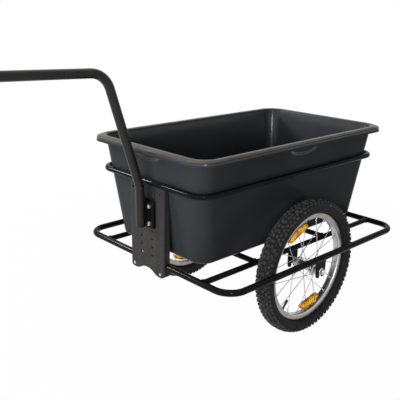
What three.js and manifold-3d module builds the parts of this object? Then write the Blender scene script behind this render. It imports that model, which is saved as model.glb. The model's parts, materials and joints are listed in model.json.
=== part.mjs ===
// A cargo bike trailer: a bent tube chassis, a lift-out plastic tub, two spoked wheels and a high drawbar.
// Millimetres. +Z is up, -Y is forward to the bicycle, and +X is the trailer's left side.
import * as THREE from 'three';
import { mergeVertices } from 'three/addons/utils/BufferGeometryUtils.js';
import Module from 'manifold-3d';

const wasm = await Module();
wasm.setup();

// Clearances
const seat = 0.3;
const play = 0.4;
const overrun = 20;

// Wheel: 47-305 tyre on a 20-spoke rim
const tyreRadius = 199.5;
const tyreWidth = 52;
const knobDepth = 4;
const knobCount = 30;
const knobColumnShares = [0, 0.22, 0.72];
const tyreShares = { bead: 0.06, sidewall: [0.4, 0.91], shoulder: 0.8, crown: 0.76, tread: 0.5 };
const tyreSection = 40.7;
const rimWidth = 25;
const rimWall = 1.8;
const hookHeight = 6.3;
const rimBox = 6.2;
const rimBedShare = 0.6;
const spokeCount = 20;
const spokeDiameter = 2.4;
const nippleDiameter = 5;
const nippleLength = 12;
const nippleTiltShare = 0.16;
const firstSpokeAngle = THREE.MathUtils.degToRad(5.7);
const hubFlangeSpacing = 54;
const hubFlangeDiameter = 40;
const hubFlangeThickness = 3;
const hubHoleCircle = 34;
const elbowRise = 2.2;
const hubBarrelDiameter = 26;
const hubLength = 70;
const crossings = 2;
const valveLength = 30;
const valveDiameter = 8;
const valveShares = { collar: 0.2, neck: 0.7, cap: 0.9, tip: 0.8 };
const valveAngle = THREE.MathUtils.degToRad(-132.3);

// Spoke reflectors, given by where they sit on the wheel
const reflectorLength = 84;
const reflectorHeight = 25;
const reflectorThickness = 15;
const reflectorAngles = [THREE.MathUtils.degToRad(113.7), THREE.MathUtils.degToRad(-78.3)];
const reflectorRimGap = 5;
const reflectorEndShare = 0.7;
const reflectorSlotShare = 1.2;

// Axle and its nuts
const axleDiameter = 10;
const coneDiameter = 17;
const coneLength = 12.9;
const axleStickOut = 13;
const nutWidth = 15;
const nutHeight = 7;
const washerDiameter = 21;
const washerThickness = 1.5;

// Chassis loop, rails and cross bars, by their centrelines
const loopTube = 18;
const loopFrontGap = 1.436;
const loopRearGap = 27.436;
const loopClearance = 30.5;
const loopCorner = 52;
const railTube = 16;
const crossTube = 16;
const crossFront = 160;
const crossRear = 147;
const tubeSides = 10;
const bendSteps = 5;
const spokeSides = 3;
const holeSides = 6;
const roundSides = 16;

// Axle brackets under the rails and the loop
const bracketWidth = 52;
const bracketThickness = 4;
const bracketDrop = 60;

// Tub: outside sizes at the rim, and the wall below it
const tubToTyre = 33.596;
const tubRise = 18;
const tubCentre = 3;
const rimHalfWidth = 238.5;
const rimHalfLength = 397;
const rimCorner = 54;
const rimRound = 6;
const flange = 22;
const lipHeight = 17;
const lipRound = 3;
const rimLand = 12;
const rimDrop = 3;
const tubHeight = 297;
const tubWall = 4;
const tubDraft = 0.12;
const tubCorner = 44;
const tubBottomRound = 14;
const scoopWidth = 140;
const scoopHeight = 44;
const scoopDepth = 6;
const scoopShift = 18;
const scoopShares = [-1, -0.5, 0, 0.5, 1];

// Hoop that holds the tub, at its centreline
const ringTube = 15;
const ringRise = 228;
const ringPlay = 0.6;
const ringCorner = 48;

// Front plate, a folded channel with a grid of holes
const plateHalfWidth = 72.5;
const plateThickness = 3;
const plateFlange = 17;
const tubPlay = 2;
const plateFootDrop = 33;
const archHeight = 15;
const footInset = 18.5;
const footRound = 14;
const notchHalfWidth = 38;
const notchLand = 8;
const hornTopWidth = 19.5;
const hornHeight = 26;
const holeDiameter = 6.5;
const holeColumn = 22;
const holePitch = 24;
const holeRows = 7;
const firstHoleRise = 22;
const hornHoleInset = 16.5;
const hornHoleDrop = 17;
const footHoleRise = 10;

// Rear uprights and their reflectors
const uprightOffset = 120;
const uprightWidth = 30;
const uprightFootDrop = 14;
const rearReflectorDiameter = 60;
const rearReflectorThickness = 10;
const rearReflectorStepShare = 0.25;
const rearReflectorRise = 156;
const rearReflectorShift = 4;

// Drawbar and its bracket
const drawbarTube = 24;
const drawbarSides = 12;
const kinkRise = 216;
const drawbarTop = 518;
const upperBendReach = 97.5;
const kinkRadius = 30;
const upperBendRadius = 58;
const drawbarReach = 580;
const drawbarRise = THREE.MathUtils.degToRad(1.8);
const bracketHalfWidth = 38;
const bracketMargin = 12;
const bracketDepth = 9.1;
const bracketSheet = 2.5;
const boltDiameter = 6;
const boltHeadWidth = 11;
const boltHeadHeight = 4.5;
const boltRows = [4, 6];

// Coupling at the drawbar's end
const spindleDiameter = 12;
const spindleHead = 15.6;
const spindleHeadThickness = 4;
const spindleCollar = 4;
const sleeveDiameter = 28;
const sleeveLength = 29;
const cheekThickness = 6;
const cheekHeight = 20;
const knuckleWidth = 16;
const knuckleHeight = 22;
const lugClearance = 11.1;
const yawReach = 26;
const pinDiameter = 8;
const pinHead = 13;
const pinHeadThickness = 3;
const earThickness = 8;
const neckReach = 22;
const clampSideWall = 6;
const postDiameter = 30;
const clampWall = 9;
const clampSplit = 1.2;
const clampBoltDiameter = 6;
const clampBoltWall = 6;

// Sizes and places that follow from the ones above
const axleHeight = tyreRadius;
const loopHeight = axleHeight + loopClearance + loopTube / 2;
const rimRadius = tyreRadius - tyreSection;
const rimBed = rimRadius - hookHeight - rimWall - rimBox;
const bedInside = rimBed * Math.cos(Math.PI / knobCount) - seat;
const nippleReach = bedInside - nippleDiameter * nippleTiltShare;
const tubBottom = loopHeight + crossTube / 2 + seat + tubRise;
const tubTop = tubBottom + tubHeight;
const wallTopHalfWidth = rimHalfWidth - flange;
const wallTopHalfLength = rimHalfLength - flange;
const wallBottomHalfWidth = wallTopHalfWidth - tubDraft * tubHeight;
const wheelOffset = wallTopHalfWidth + tubDraft * (tyreRadius * 2 - tubTop) + tubToTyre + tyreWidth / 2;
const wheelBay = hubLength + (coneLength + seat * 2) * 2 + bracketThickness;
const railOffset = wheelOffset - wheelBay / 2;
const loopHalfWidth = wheelOffset + wheelBay / 2;
const ringHeight = loopHeight + ringRise;
const ringLevelHalfLength = wallTopHalfLength + tubDraft * (ringHeight - tubTop);
const loopFront = ringLevelHalfLength + tubCentre + loopFrontGap;
const loopRear = ringLevelHalfLength - tubCentre + loopRearGap;
const ringHalfWidth = wallBottomHalfWidth + tubDraft * (ringHeight - tubBottom) + ringPlay + ringTube / 2;
const plateBack = -loopFront - loopTube / 2 - seat;
const plateFront = plateBack - plateThickness;
const plateTop = ringHeight - ringTube / 2 - seat;
const gridRow = (row) => loopHeight + firstHoleRise + row * holePitch;
const notchBottom = gridRow(holeRows - 1) + notchLand;
const hornFlare = plateHalfWidth - notchHalfWidth - hornTopWidth;
const hornHoleOffset = plateHalfWidth - hornHoleInset;
const footOffset = plateHalfWidth - footInset;
const bracketBottom = gridRow(Math.min(...boltRows)) - bracketMargin;
const bracketHeight = gridRow(Math.max(...boltRows)) + bracketMargin - bracketBottom;
const uprightBack = loopRear - loopTube / 2 - seat;
const uprightFront = uprightBack - plateThickness;
const ringFront = (plateBack + plateFront) / 2;
const ringRear = (uprightFront + uprightBack) / 2;
const bracketFace = plateFront - seat - bracketDepth;
const drawbarFoot = bracketFace - seat - drawbarTube / 2;
const upperBend = new THREE.Vector3(0, drawbarFoot - upperBendReach, loopHeight + drawbarTop);

// Materials, by the colour and finish that each shows
function paint(colour, roughness, metalness) {
  return new THREE.MeshStandardMaterial({ color: colour, roughness, metalness });
}

const blackPaint = () => paint(0x16171a, 0.3, 0.4);
const sheetPaint = () => paint(0x4a4644, 0.5, 0.4);
const blackPlastic = () => paint(0x2b2d30, 0.55, 0);
const rubber = () => paint(0x242527, 0.9, 0);
const alloy = () => paint(0xb9babb, 0.35, 0.9);
const plated = () => paint(0xc4c6c8, 0.25, 1);
const amber = () => paint(0xe08a10, 0.2, 0);
const red = () => paint(0xc01a14, 0.2, 0);

// Geometry in and out of the boolean library
function welded(geometry) {
  const bare = geometry.clone();
  bare.deleteAttribute('normal');
  bare.deleteAttribute('uv');
  const merged = mergeVertices(bare);
  return signedVolume(merged) < 0 ? flipped(merged) : merged;
}

function signedVolume(geometry) {
  const places = geometry.attributes.position;
  const corners = geometry.index.array;
  const [a, b, c] = [new THREE.Vector3(), new THREE.Vector3(), new THREE.Vector3()];
  let sum = 0;
  for (let i = 0; i < corners.length; i += 3) {
    a.fromBufferAttribute(places, corners[i]);
    b.fromBufferAttribute(places, corners[i + 1]);
    c.fromBufferAttribute(places, corners[i + 2]);
    sum += a.dot(b.cross(c));
  }
  return sum;
}

function flipped(geometry) {
  geometry.setIndex(Array.from(geometry.index.array).reverse());
  return geometry;
}

function solid(geometry) {
  const closed = welded(geometry);
  const vertProperties = new Float32Array(closed.attributes.position.array);
  const triVerts = new Uint32Array(closed.index.array);
  return new wasm.Manifold(new wasm.Mesh({ numProp: 3, vertProperties, triVerts }));
}

function geometryOf(body) {
  const mesh = body.getMesh();
  const geometry = new THREE.BufferGeometry();
  geometry.setAttribute('position', new THREE.BufferAttribute(new Float32Array(mesh.vertProperties), 3));
  geometry.setIndex(Array.from(mesh.triVerts));
  return geometry;
}

function joined(bodies) {
  return bodies.reduce((whole, body) => whole.add(body));
}

function cut(body, cutters) {
  return cutters.reduce((rest, cutter) => rest.subtract(cutter), body);
}

function named(name, geometry, material) {
  const mesh = new THREE.Mesh(geometry, material);
  mesh.name = name;
  return mesh;
}

// Basic forms
function circle(radius, sides) {
  const points = Array.from({ length: sides }, (unused, i) => {
    const angle = (i / sides) * Math.PI * 2;
    return new THREE.Vector2(radius * Math.cos(angle), radius * Math.sin(angle));
  });
  return new THREE.Shape(points);
}

function prism(shape, depth, curveSegments = 6) {
  return new THREE.ExtrudeGeometry(shape, { depth, bevelEnabled: false, curveSegments });
}

// A rod along X, Y or Z between two places on that axis
function rod(axis, radius, from, to, sides = tubeSides) {
  const geometry = prism(circle(radius, sides), to - from);
  geometry.translate(0, 0, from);
  if (axis === 'x') geometry.rotateY(Math.PI / 2);
  if (axis === 'y') geometry.rotateX(-Math.PI / 2);
  return geometry;
}

// A box between two opposite corners
function box(low, high) {
  const size = high.clone().sub(low);
  const geometry = new THREE.BoxGeometry(size.x, size.y, size.z);
  geometry.translate((low.x + high.x) / 2, (low.y + high.y) / 2, (low.z + high.z) / 2);
  return geometry;
}

// A turned form about the X axis, from a closed outline of (radius, place along X)
function turned(outline, segments) {
  const points = [...outline, outline[0]].map(([radius, along]) => new THREE.Vector2(radius, along));
  const geometry = new THREE.LatheGeometry(points, segments);
  geometry.rotateZ(-Math.PI / 2);
  return geometry;
}

// Straight runs joined by round bends, sampled at each bend's stations
class BentPath extends THREE.Curve {
  constructor(corners, radii, steps) {
    super();
    this.stations = [];
    this.steps = steps;
    corners.forEach((corner, i) => this.addCorner(corners, corner, radii[i], i));
  }

  addCorner(corners, corner, radius, i) {
    const before = corners[i - 1];
    const after = corners[i + 1];
    const run = (from, to) => to.clone().sub(from).normalize();
    if (!before) return this.stations.push([corner, run(corner, after)]);
    if (!after) return this.stations.push([corner, run(before, corner)]);
    const incoming = run(before, corner);
    const outgoing = run(corner, after);
    const turn = incoming.angleTo(outgoing);
    const inward = outgoing.clone().addScaledVector(incoming, -Math.cos(turn)).normalize();
    const start = corner.clone().addScaledVector(incoming, -radius * Math.tan(turn / 2));
    for (let step = 0; step <= this.steps; step += 1) {
      const angle = (turn * step) / this.steps;
      const place = start.clone().addScaledVector(incoming, radius * Math.sin(angle));
      place.addScaledVector(inward, radius * (1 - Math.cos(angle)));
      const heading = incoming.clone().multiplyScalar(Math.cos(angle)).addScaledVector(inward, Math.sin(angle));
      this.stations.push([place, heading]);
    }
  }

  station(share) {
    return this.stations[Math.round(share * (this.stations.length - 1))];
  }

  getPointAt(share) {
    return this.station(share)[0].clone();
  }

  getTangentAt(share) {
    return this.station(share)[1].clone();
  }
}

function bentTube(corners, radii, diameter, sides = tubeSides, arcSteps = bendSteps) {
  const extrudePath = new BentPath(corners, radii, arcSteps);
  const steps = extrudePath.stations.length - 1;
  return new THREE.ExtrudeGeometry(circle(diameter / 2, sides), { steps, extrudePath, bevelEnabled: false });
}

// A level closed hoop, bent as two halves and welded at the middles of its front and rear runs
function hoop(halfWidth, front, rear, height, corner, diameter) {
  const half = (side) => bentTube(
    [[0, front], [side * halfWidth, front], [side * halfWidth, rear], [0, rear]]
      .map(([x, y]) => new THREE.Vector3(x, y, height)),
    [0, corner, corner, 0],
    diameter,
  );
  return solid(half(1)).add(solid(half(-1)));
}

// Chassis
function baseLoop() {
  return hoop(loopHalfWidth, -loopFront, loopRear, loopHeight, loopCorner, loopTube);
}

function loopSaddles() {
  const across = [-loopFront, loopRear].map((y) => {
    const geometry = rod('x', loopTube / 2 + seat, -loopHalfWidth, loopHalfWidth);
    return solid(geometry.translate(0, y, loopHeight));
  });
  return across;
}

function innerRail(side) {
  const geometry = rod('y', railTube / 2, -loopFront, loopRear);
  const rail = solid(geometry.translate(side * railOffset, 0, loopHeight));
  return cut(rail, loopSaddles());
}

function crossBar(y) {
  const geometry = rod('x', crossTube / 2, -railOffset, railOffset);
  const saddles = [-1, 1].map((side) => {
    const saddle = rod('y', railTube / 2 + seat, -loopFront, loopRear);
    return solid(saddle.translate(side * railOffset, 0, loopHeight));
  });
  return cut(solid(geometry.translate(0, y, loopHeight)), saddles);
}

function tubRing() {
  return hoop(ringHalfWidth, ringFront, ringRear, ringHeight, ringCorner, ringTube);
}

// A plate with rounded lower corners and a slot that lets the axle in from below
function axleBracket(x, tube) {
  const top = loopHeight - tube / 2 - seat;
  const bottom = top - bracketDrop;
  const half = bracketWidth / 2;
  const slot = axleDiameter / 2 + seat;
  const taper = half - slot;
  const shape = new THREE.Shape();
  shape.moveTo(-half, top);
  shape.lineTo(-half, axleHeight);
  shape.quadraticCurveTo(-half, bottom, -half + taper / 2, bottom);
  shape.lineTo(-slot, bottom);
  shape.lineTo(-slot, axleHeight);
  shape.absarc(0, axleHeight, slot, Math.PI, 0, true);
  shape.lineTo(slot, bottom);
  shape.lineTo(half - taper / 2, bottom);
  shape.quadraticCurveTo(half, bottom, half, axleHeight);
  shape.lineTo(half, top);
  const geometry = prism(shape, bracketThickness);
  geometry.rotateX(Math.PI / 2);
  geometry.rotateZ(Math.PI / 2);
  return geometry.translate(x - bracketThickness / 2, 0, 0);
}

// Front plate
function plateOutline() {
  const foot = loopHeight - plateFootDrop;
  const side = plateHalfWidth;
  const shape = new THREE.Shape();
  shape.moveTo(-side, plateTop);
  shape.lineTo(-side, foot + footRound);
  shape.quadraticCurveTo(-side, foot, -footOffset, foot);
  shape.bezierCurveTo(-footOffset / 2, foot, -footOffset / 2, foot + archHeight, 0, foot + archHeight);
  shape.bezierCurveTo(footOffset / 2, foot + archHeight, footOffset / 2, foot, footOffset, foot);
  shape.quadraticCurveTo(side, foot, side, foot + footRound);
  shape.lineTo(side, plateTop);
  shape.lineTo(notchHalfWidth + hornFlare, plateTop);
  shape.quadraticCurveTo(notchHalfWidth, plateTop, notchHalfWidth, plateTop - hornHeight);
  shape.lineTo(notchHalfWidth, notchBottom);
  shape.lineTo(-notchHalfWidth, notchBottom);
  shape.lineTo(-notchHalfWidth, plateTop - hornHeight);
  shape.quadraticCurveTo(-notchHalfWidth, plateTop, -notchHalfWidth - hornFlare, plateTop);
  return shape;
}

function gridHoles() {
  const rows = Array.from({ length: holeRows }, (unused, row) => gridRow(row));
  const grid = rows.flatMap((z) => [[-holeColumn, z], [holeColumn, z]]);
  const horns = [-1, 1].map((side) => [side * hornHoleOffset, plateTop - hornHoleDrop]);
  const feet = [-1, 1].map((side) => [side * hornHoleOffset, loopHeight - plateFootDrop + footHoleRise]);
  return [...grid, ...horns, ...feet];
}

function hole(x, z, front, back, diameter) {
  return solid(rod('y', diameter / 2, front, back, holeSides).translate(x, 0, z));
}

// Clears the plate's folded sides where the tub's front wall leans towards them
function tubRelief() {
  const front = (z) => -wallTopHalfLength - tubDraft * (z - tubTop) - tubCentre - tubPlay;
  const shape = new THREE.Shape();
  shape.moveTo(front(loopHeight), loopHeight);
  shape.lineTo(front(tubTop), tubTop);
  shape.lineTo(0, tubTop);
  shape.lineTo(0, loopHeight);
  const geometry = prism(shape, plateHalfWidth * 2 + overrun * 2);
  geometry.rotateX(Math.PI / 2);
  geometry.rotateZ(Math.PI / 2);
  return solid(geometry.translate(-plateHalfWidth - overrun, 0, 0));
}

function frontPlate() {
  const fold = new THREE.Shape();
  const side = plateHalfWidth;
  const inside = side - plateThickness;
  fold.moveTo(-side, plateBack + plateFlange);
  fold.lineTo(-side, plateFront + plateThickness);
  fold.quadraticCurveTo(-side, plateFront, -inside, plateFront);
  fold.lineTo(inside, plateFront);
  fold.quadraticCurveTo(side, plateFront, side, plateFront + plateThickness);
  fold.lineTo(side, plateBack + plateFlange);
  fold.lineTo(inside, plateBack + plateFlange);
  fold.lineTo(inside, plateBack);
  fold.lineTo(-inside, plateBack);
  fold.lineTo(-inside, plateBack + plateFlange);
  const channel = prism(fold, plateTop, 2);
  const face = prism(plateOutline(), plateFlange + overrun * 2);
  face.rotateX(Math.PI / 2);
  face.translate(0, plateBack + plateFlange + overrun, 0);
  const holes = gridHoles().map(([x, z]) => hole(x, z, plateFront - overrun, plateBack + overrun / 2, holeDiameter));
  return cut(solid(channel).intersect(solid(face)), [...loopSaddles(), tubRelief(), ...holes]);
}

// Rear uprights and reflectors
function rearUpright(side) {
  const foot = loopHeight - loopTube / 2 - uprightFootDrop;
  const half = uprightWidth / 2;
  const shape = new THREE.Shape();
  shape.moveTo(-half, plateTop);
  shape.lineTo(-half, foot + half);
  shape.absarc(0, foot + half, half, Math.PI, Math.PI * 2, false);
  shape.lineTo(half, plateTop);
  const strip = prism(shape, plateThickness).rotateX(Math.PI / 2);
  const holeHeight = foot + half;
  const body = solid(strip.translate(side * uprightOffset, uprightBack, 0));
  return cut(body, [hole(side * uprightOffset, holeHeight, uprightFront - overrun, uprightBack + overrun, holeDiameter)]);
}

function rearReflector(side) {
  const radius = rearReflectorDiameter / 2;
  const depth = rearReflectorThickness;
  const step = depth * rearReflectorStepShare;
  const geometry = turned([[0, 0], [radius, 0], [radius, depth - step], [radius - step, depth], [0, depth]], roundSides);
  geometry.rotateZ(Math.PI / 2);
  return geometry.translate(side * (uprightOffset + rearReflectorShift), uprightBack + seat, loopHeight + rearReflectorRise);
}

// Drawbar
function drawbarEnd() {
  const run = new THREE.Vector3(0, -Math.cos(drawbarRise), Math.sin(drawbarRise));
  return upperBend.clone().addScaledVector(run, drawbarReach);
}

function drawbar() {
  const corners = [
    new THREE.Vector3(0, drawbarFoot, bracketBottom),
    new THREE.Vector3(0, drawbarFoot, loopHeight + kinkRise),
    upperBend,
    drawbarEnd(),
  ];
  return bentTube(corners, [0, kinkRadius, upperBendRadius, 0], drawbarTube, drawbarSides);
}

function drawbarBracket() {
  const fold = new THREE.Shape();
  const side = bracketHalfWidth;
  const inside = side - bracketSheet;
  const back = bracketFace + bracketDepth;
  const web = bracketFace + bracketSheet;
  fold.moveTo(-side, back);
  fold.lineTo(-side, web);
  fold.quadraticCurveTo(-side, bracketFace, -inside, bracketFace);
  fold.lineTo(inside, bracketFace);
  fold.quadraticCurveTo(side, bracketFace, side, web);
  fold.lineTo(side, back);
  fold.lineTo(inside, back);
  fold.lineTo(inside, web);
  fold.lineTo(-inside, web);
  fold.lineTo(-inside, back);
  const channel = prism(fold, bracketHeight, 2).translate(0, 0, bracketBottom);
  const holes = boltPlaces().map(([x, z]) => hole(x, z, bracketFace - overrun, back, holeDiameter));
  return cut(solid(channel), holes);
}

function boltPlaces() {
  return boltRows.flatMap((row) => {
    const z = gridRow(row);
    return [[-holeColumn, z], [holeColumn, z]];
  });
}

function hexHead(width, height) {
  return prism(circle(width / Math.sqrt(3), 6), height);
}

function drawbarBolt([x, z]) {
  const front = bracketFace - seat;
  const back = plateBack + seat;
  const shank = solid(rod('y', boltDiameter / 2, front - boltHeadHeight / 2, back + boltHeadHeight / 2, holeSides));
  const head = hexHead(boltHeadWidth, boltHeadHeight).rotateX(Math.PI / 2).translate(0, front, 0);
  const nut = hexHead(boltHeadWidth, boltHeadHeight).rotateX(Math.PI / 2).translate(0, back + boltHeadHeight, 0);
  return geometryOf(joined([shank, solid(head), solid(nut)])).translate(x, 0, z);
}

// Axle with its cones and lock nuts, between the two brackets
function axle() {
  const radius = axleDiameter / 2;
  const cone = coneDiameter / 2;
  const hubEnd = hubLength / 2 + seat;
  const lock = hubEnd + coneLength;
  const end = (wheelBay + bracketThickness) / 2 + axleStickOut;
  return turned([
    [0, -end], [radius, -end], [radius, -lock], [cone, -lock], [cone, -hubEnd], [radius, -hubEnd],
    [radius, hubEnd], [cone, hubEnd], [cone, lock], [radius, lock], [radius, end], [0, end],
  ], tubeSides);
}

function axleNut(side) {
  const start = (wheelBay + bracketThickness) / 2 + seat;
  const washer = rod('x', washerDiameter / 2, start, start + washerThickness);
  const nut = hexHead(nutWidth, nutHeight).rotateY(Math.PI / 2).translate(start + washerThickness, 0, 0);
  const bore = rod('x', axleDiameter / 2 + seat, start - overrun, start + overrun);
  const body = solid(washer).add(solid(nut)).subtract(solid(bore));
  const geometry = geometryOf(body);
  return side > 0 ? geometry : geometry.rotateZ(Math.PI);
}

// Wheel, about the X axis, with its outer side at +X
function tyreOutline() {
  const half = tyreWidth / 2;
  const seatRadius = rimRadius - hookHeight + seat;
  const bead = rimWidth / 2 - rimWall - seat;
  const section = tyreRadius - rimRadius;
  const [sidewallRise, sidewallReach] = tyreShares.sidewall;
  const side = [
    [seatRadius, bead],
    [rimRadius + section * tyreShares.bead, bead],
    [rimRadius + section * sidewallRise, half * sidewallReach],
    [rimRadius + section * tyreShares.shoulder, half],
    [tyreRadius, half * tyreShares.crown],
  ];
  const mirrored = side.map(([radius, along]) => [radius, -along]);
  return [...mirrored, ...side.reverse()];
}

function tyre() {
  const outline = tyreOutline();
  const columns = knobColumnShares.length;
  const lowest = (columns + 1) / (knobCount * columns);
  const geometry = new THREE.LatheGeometry(
    [...outline, outline[0]].map(([radius, along]) => new THREE.Vector2(radius, along)),
    knobCount * columns,
  );
  const rows = outline.length + 1;
  const places = geometry.attributes.position;
  const treadStart = rimRadius + (tyreRadius - rimRadius) * tyreShares.tread;
  for (let i = 0; i < places.count; i += 1) {
    const column = Math.floor(i / rows) % (knobCount * columns);
    const [radius, along] = outline[(i % rows) % outline.length];
    const groove = column % columns === 0 && radius > treadStart;
    const reach = groove ? radius - knobDepth : radius;
    const share = Math.floor(column / columns) + knobColumnShares[column % columns] - knobColumnShares[1];
    const angle = (share / knobCount) * Math.PI * 2;
    places.setXYZ(i, along, reach * Math.sin(angle), -reach * Math.cos(angle));
  }
  return welded(geometry);
}

function rim() {
  const half = rimWidth / 2;
  const inner = half - rimWall;
  const bead = rimRadius - hookHeight;
  const well = bead - rimWall;
  return turned([
    [rimRadius, -half], [rimRadius, -inner], [bead, -inner], [well, 0],
    [bead, inner], [rimRadius, inner], [rimRadius, half],
    [rimBed, half * rimBedShare], [rimBed, -half * rimBedShare],
  ], knobCount);
}

function hubHoleAngle(end, index) {
  const turn = (Math.PI * 4) / spokeCount;
  const offset = end > 0 ? 0 : turn / 2;
  return firstSpokeAngle + offset + index * turn;
}

function hub() {
  const barrel = hubBarrelDiameter / 2;
  const flangeRadius = hubFlangeDiameter / 2;
  const outer = (hubFlangeSpacing + hubFlangeThickness) / 2;
  const inner = outer - hubFlangeThickness;
  const end = hubLength / 2;
  const bore = axleDiameter / 2 + play;
  const shell = solid(turned([
    [bore, -end], [coneDiameter / 2, -end], [barrel, -outer], [flangeRadius, -outer], [flangeRadius, -inner],
    [barrel, -inner], [barrel, inner], [flangeRadius, inner], [flangeRadius, outer],
    [barrel, outer], [coneDiameter / 2, end], [bore, end],
  ], tubeSides));
  const cutters = [-1, 1].flatMap((side) => Array.from({ length: spokeCount / 2 }, (unused, i) => {
    const angle = hubHoleAngle(side, i);
    const centre = side * hubFlangeSpacing / 2;
    const cutter = rod('x', spokeDiameter / 2 + play, centre - hubFlangeThickness, centre + hubFlangeThickness, spokeSides);
    return solid(cutter.translate(0, Math.cos(angle) * hubHoleCircle / 2, Math.sin(angle) * hubHoleCircle / 2));
  }));
  return cut(shell, cutters);
}

// One spoke of a flange: its elbow through the flange, its run to the rim, and its nipple
function spokeRun(side, index) {
  const angle = hubHoleAngle(side, index);
  const lean = (crossings * Math.PI * 4) / spokeCount;
  const rimAngle = angle + (index % 2 === 0 ? lean : -lean);
  const reach = nippleReach;
  const head = side * (hubFlangeSpacing / 2 - hubFlangeThickness / 2);
  const elbow = side * (hubFlangeSpacing / 2 + hubFlangeThickness / 2 + elbowRise + spokeDiameter / 2);
  const hole = [Math.cos(angle) * hubHoleCircle / 2, Math.sin(angle) * hubHoleCircle / 2];
  const end = new THREE.Vector3(0, Math.cos(rimAngle) * reach, Math.sin(rimAngle) * reach);
  return [new THREE.Vector3(head, ...hole), new THREE.Vector3(elbow, ...hole), end];
}

function spoke(side, index, extra = 0) {
  const [head, elbow, end] = spokeRun(side, index);
  const wire = (spokeDiameter + extra) / 2;
  const nipple = (nippleDiameter + extra) / 2;
  const length = elbow.distanceTo(end);
  const outline = [[0, 0], [wire, 0], [wire, length - nippleLength], [nipple, length - nippleLength], [nipple, length], [0, length]];
  const run = turned(outline, spokeSides);
  const heading = end.clone().sub(elbow).normalize();
  run.applyQuaternion(new THREE.Quaternion().setFromUnitVectors(new THREE.Vector3(1, 0, 0), heading));
  run.translate(elbow.x, elbow.y, elbow.z);
  const [low, high] = [head.x, elbow.x].sort((p, q) => p - q);
  const stub = rod('x', wire, low, high, spokeSides).translate(0, head.y, head.z);
  return solid(run).add(solid(stub));
}

function spokeSet(side) {
  return joined(Array.from({ length: spokeCount / 2 }, (unused, i) => spoke(side, i)));
}

// An arc shaped lens clipped over the spokes beside the rim
function spokeReflector(angle) {
  const outer = rimBed - reflectorRimGap;
  const middle = outer - reflectorHeight / 2;
  const spread = reflectorLength / 2 / middle;
  const shape = new THREE.Shape();
  shape.absarc(0, 0, outer, angle - spread * reflectorEndShare, angle + spread * reflectorEndShare, false);
  shape.absarc(0, 0, middle, angle + spread, angle + spread, false);
  const inner = outer - reflectorHeight;
  shape.absarc(0, 0, inner, angle + spread * reflectorEndShare, angle - spread * reflectorEndShare, true);
  shape.absarc(0, 0, middle, angle - spread, angle - spread, false);
  const plate = prism(shape, reflectorThickness, 3).translate(0, 0, -reflectorThickness / 2);
  plate.rotateX(Math.PI / 2).rotateZ(Math.PI / 2);
  const slots = [-1, 1].flatMap((side) => Array.from({ length: spokeCount / 2 }, (unused, i) => i)
    .filter((i) => Math.cos(Math.atan2(spokeRun(side, i)[2].z, spokeRun(side, i)[2].y) - angle) > Math.cos(spread * reflectorSlotShare))
    .map((i) => spoke(side, i, seat * 2)));
  return cut(solid(plate), slots);
}

function valve() {
  const radius = valveDiameter / 2;
  const top = bedInside;
  const step = valveLength * valveShares.collar;
  const neck = radius * valveShares.neck;
  const geometry = turned([
    [0, top], [radius, top], [neck, top - step], [neck, top - step * 3],
    [radius * valveShares.cap, top - step * 3], [radius * valveShares.tip, top - valveLength], [0, top - valveLength],
  ], holeSides);
  geometry.rotateZ(Math.PI / 2);
  return geometry.rotateX(valveAngle);
}

// Tub: closed rings of points, lofted from the bottom up the outside, over the rim and down the inside
function ringPoints(halfWidth, halfLength, corner, z, scoop) {
  const points = [];
  const sides = [
    { along: [0, 1], out: [1, 0], reach: halfWidth, run: halfLength },
    { along: [-1, 0], out: [0, 1], reach: halfLength, run: halfWidth },
    { along: [0, -1], out: [-1, 0], reach: halfWidth, run: halfLength },
    { along: [1, 0], out: [0, -1], reach: halfLength, run: halfWidth },
  ];
  sides.forEach(({ along, out, reach, run }) => {
    scoopShares.forEach((share) => {
      const inward = scoop * Math.cos((share * Math.PI) / 2) ** 2;
      const s = (share * scoopWidth) / 2 + along[1] * scoopShift;
      const r = reach - inward;
      points.push(new THREE.Vector3(along[0] * s + out[0] * r, along[1] * s + out[1] * r, z));
    });
    for (let step = 0; step <= bendSteps - 1; step += 1) {
      const angle = (step / (bendSteps - 1)) * Math.PI / 2;
      const s = run - corner + corner * Math.sin(angle);
      const r = reach - corner + corner * Math.cos(angle);
      points.push(new THREE.Vector3(along[0] * s + out[0] * r, along[1] * s + out[1] * r, z));
    }
  });
  return points;
}

function wallRing(z, inset, scoop = 0) {
  const grow = tubDraft * (z - tubTop) - inset;
  return ringPoints(wallTopHalfWidth + grow, wallTopHalfLength + grow, tubCorner - inset, z, scoop);
}

function rimRing(z, inset) {
  return ringPoints(rimHalfWidth - inset, rimHalfLength - inset, rimCorner - inset, z, 0);
}

function bottomArc(inset) {
  const radius = tubBottomRound - inset;
  return [0, 0.5, 1].map((share) => {
    const angle = (share * Math.PI) / 2;
    return wallRing(tubBottom + inset + radius * (1 - Math.sin(angle)), inset + radius * (1 - Math.cos(angle)));
  });
}

function tub() {
  const under = tubTop - tubWall;
  const scoopMiddle = tubTop - scoopHeight / 2;
  const scoopFoot = tubTop - scoopHeight;
  const lipFoot = tubTop - lipHeight;
  const rimEdge = tubTop - rimDrop;
  const outside = [
    ...bottomArc(0).reverse(),
    wallRing(scoopFoot, 0), wallRing(scoopMiddle, 0, scoopDepth), wallRing(under, 0),
    rimRing(under - rimDrop, tubWall), rimRing(lipFoot, tubWall), rimRing(lipFoot, 0),
    rimRing(rimEdge - lipRound, 0), rimRing(rimEdge, lipRound), wallRing(tubTop, -rimLand),
  ];
  const inside = [
    wallRing(tubTop, tubWall - rimRound), wallRing(tubTop - rimRound, tubWall),
    wallRing(scoopMiddle, tubWall, scoopDepth), wallRing(scoopFoot, tubWall),
    ...bottomArc(tubWall),
  ];
  return loft([...outside, ...inside]).translate(0, -tubCentre, 0);
}

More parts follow.
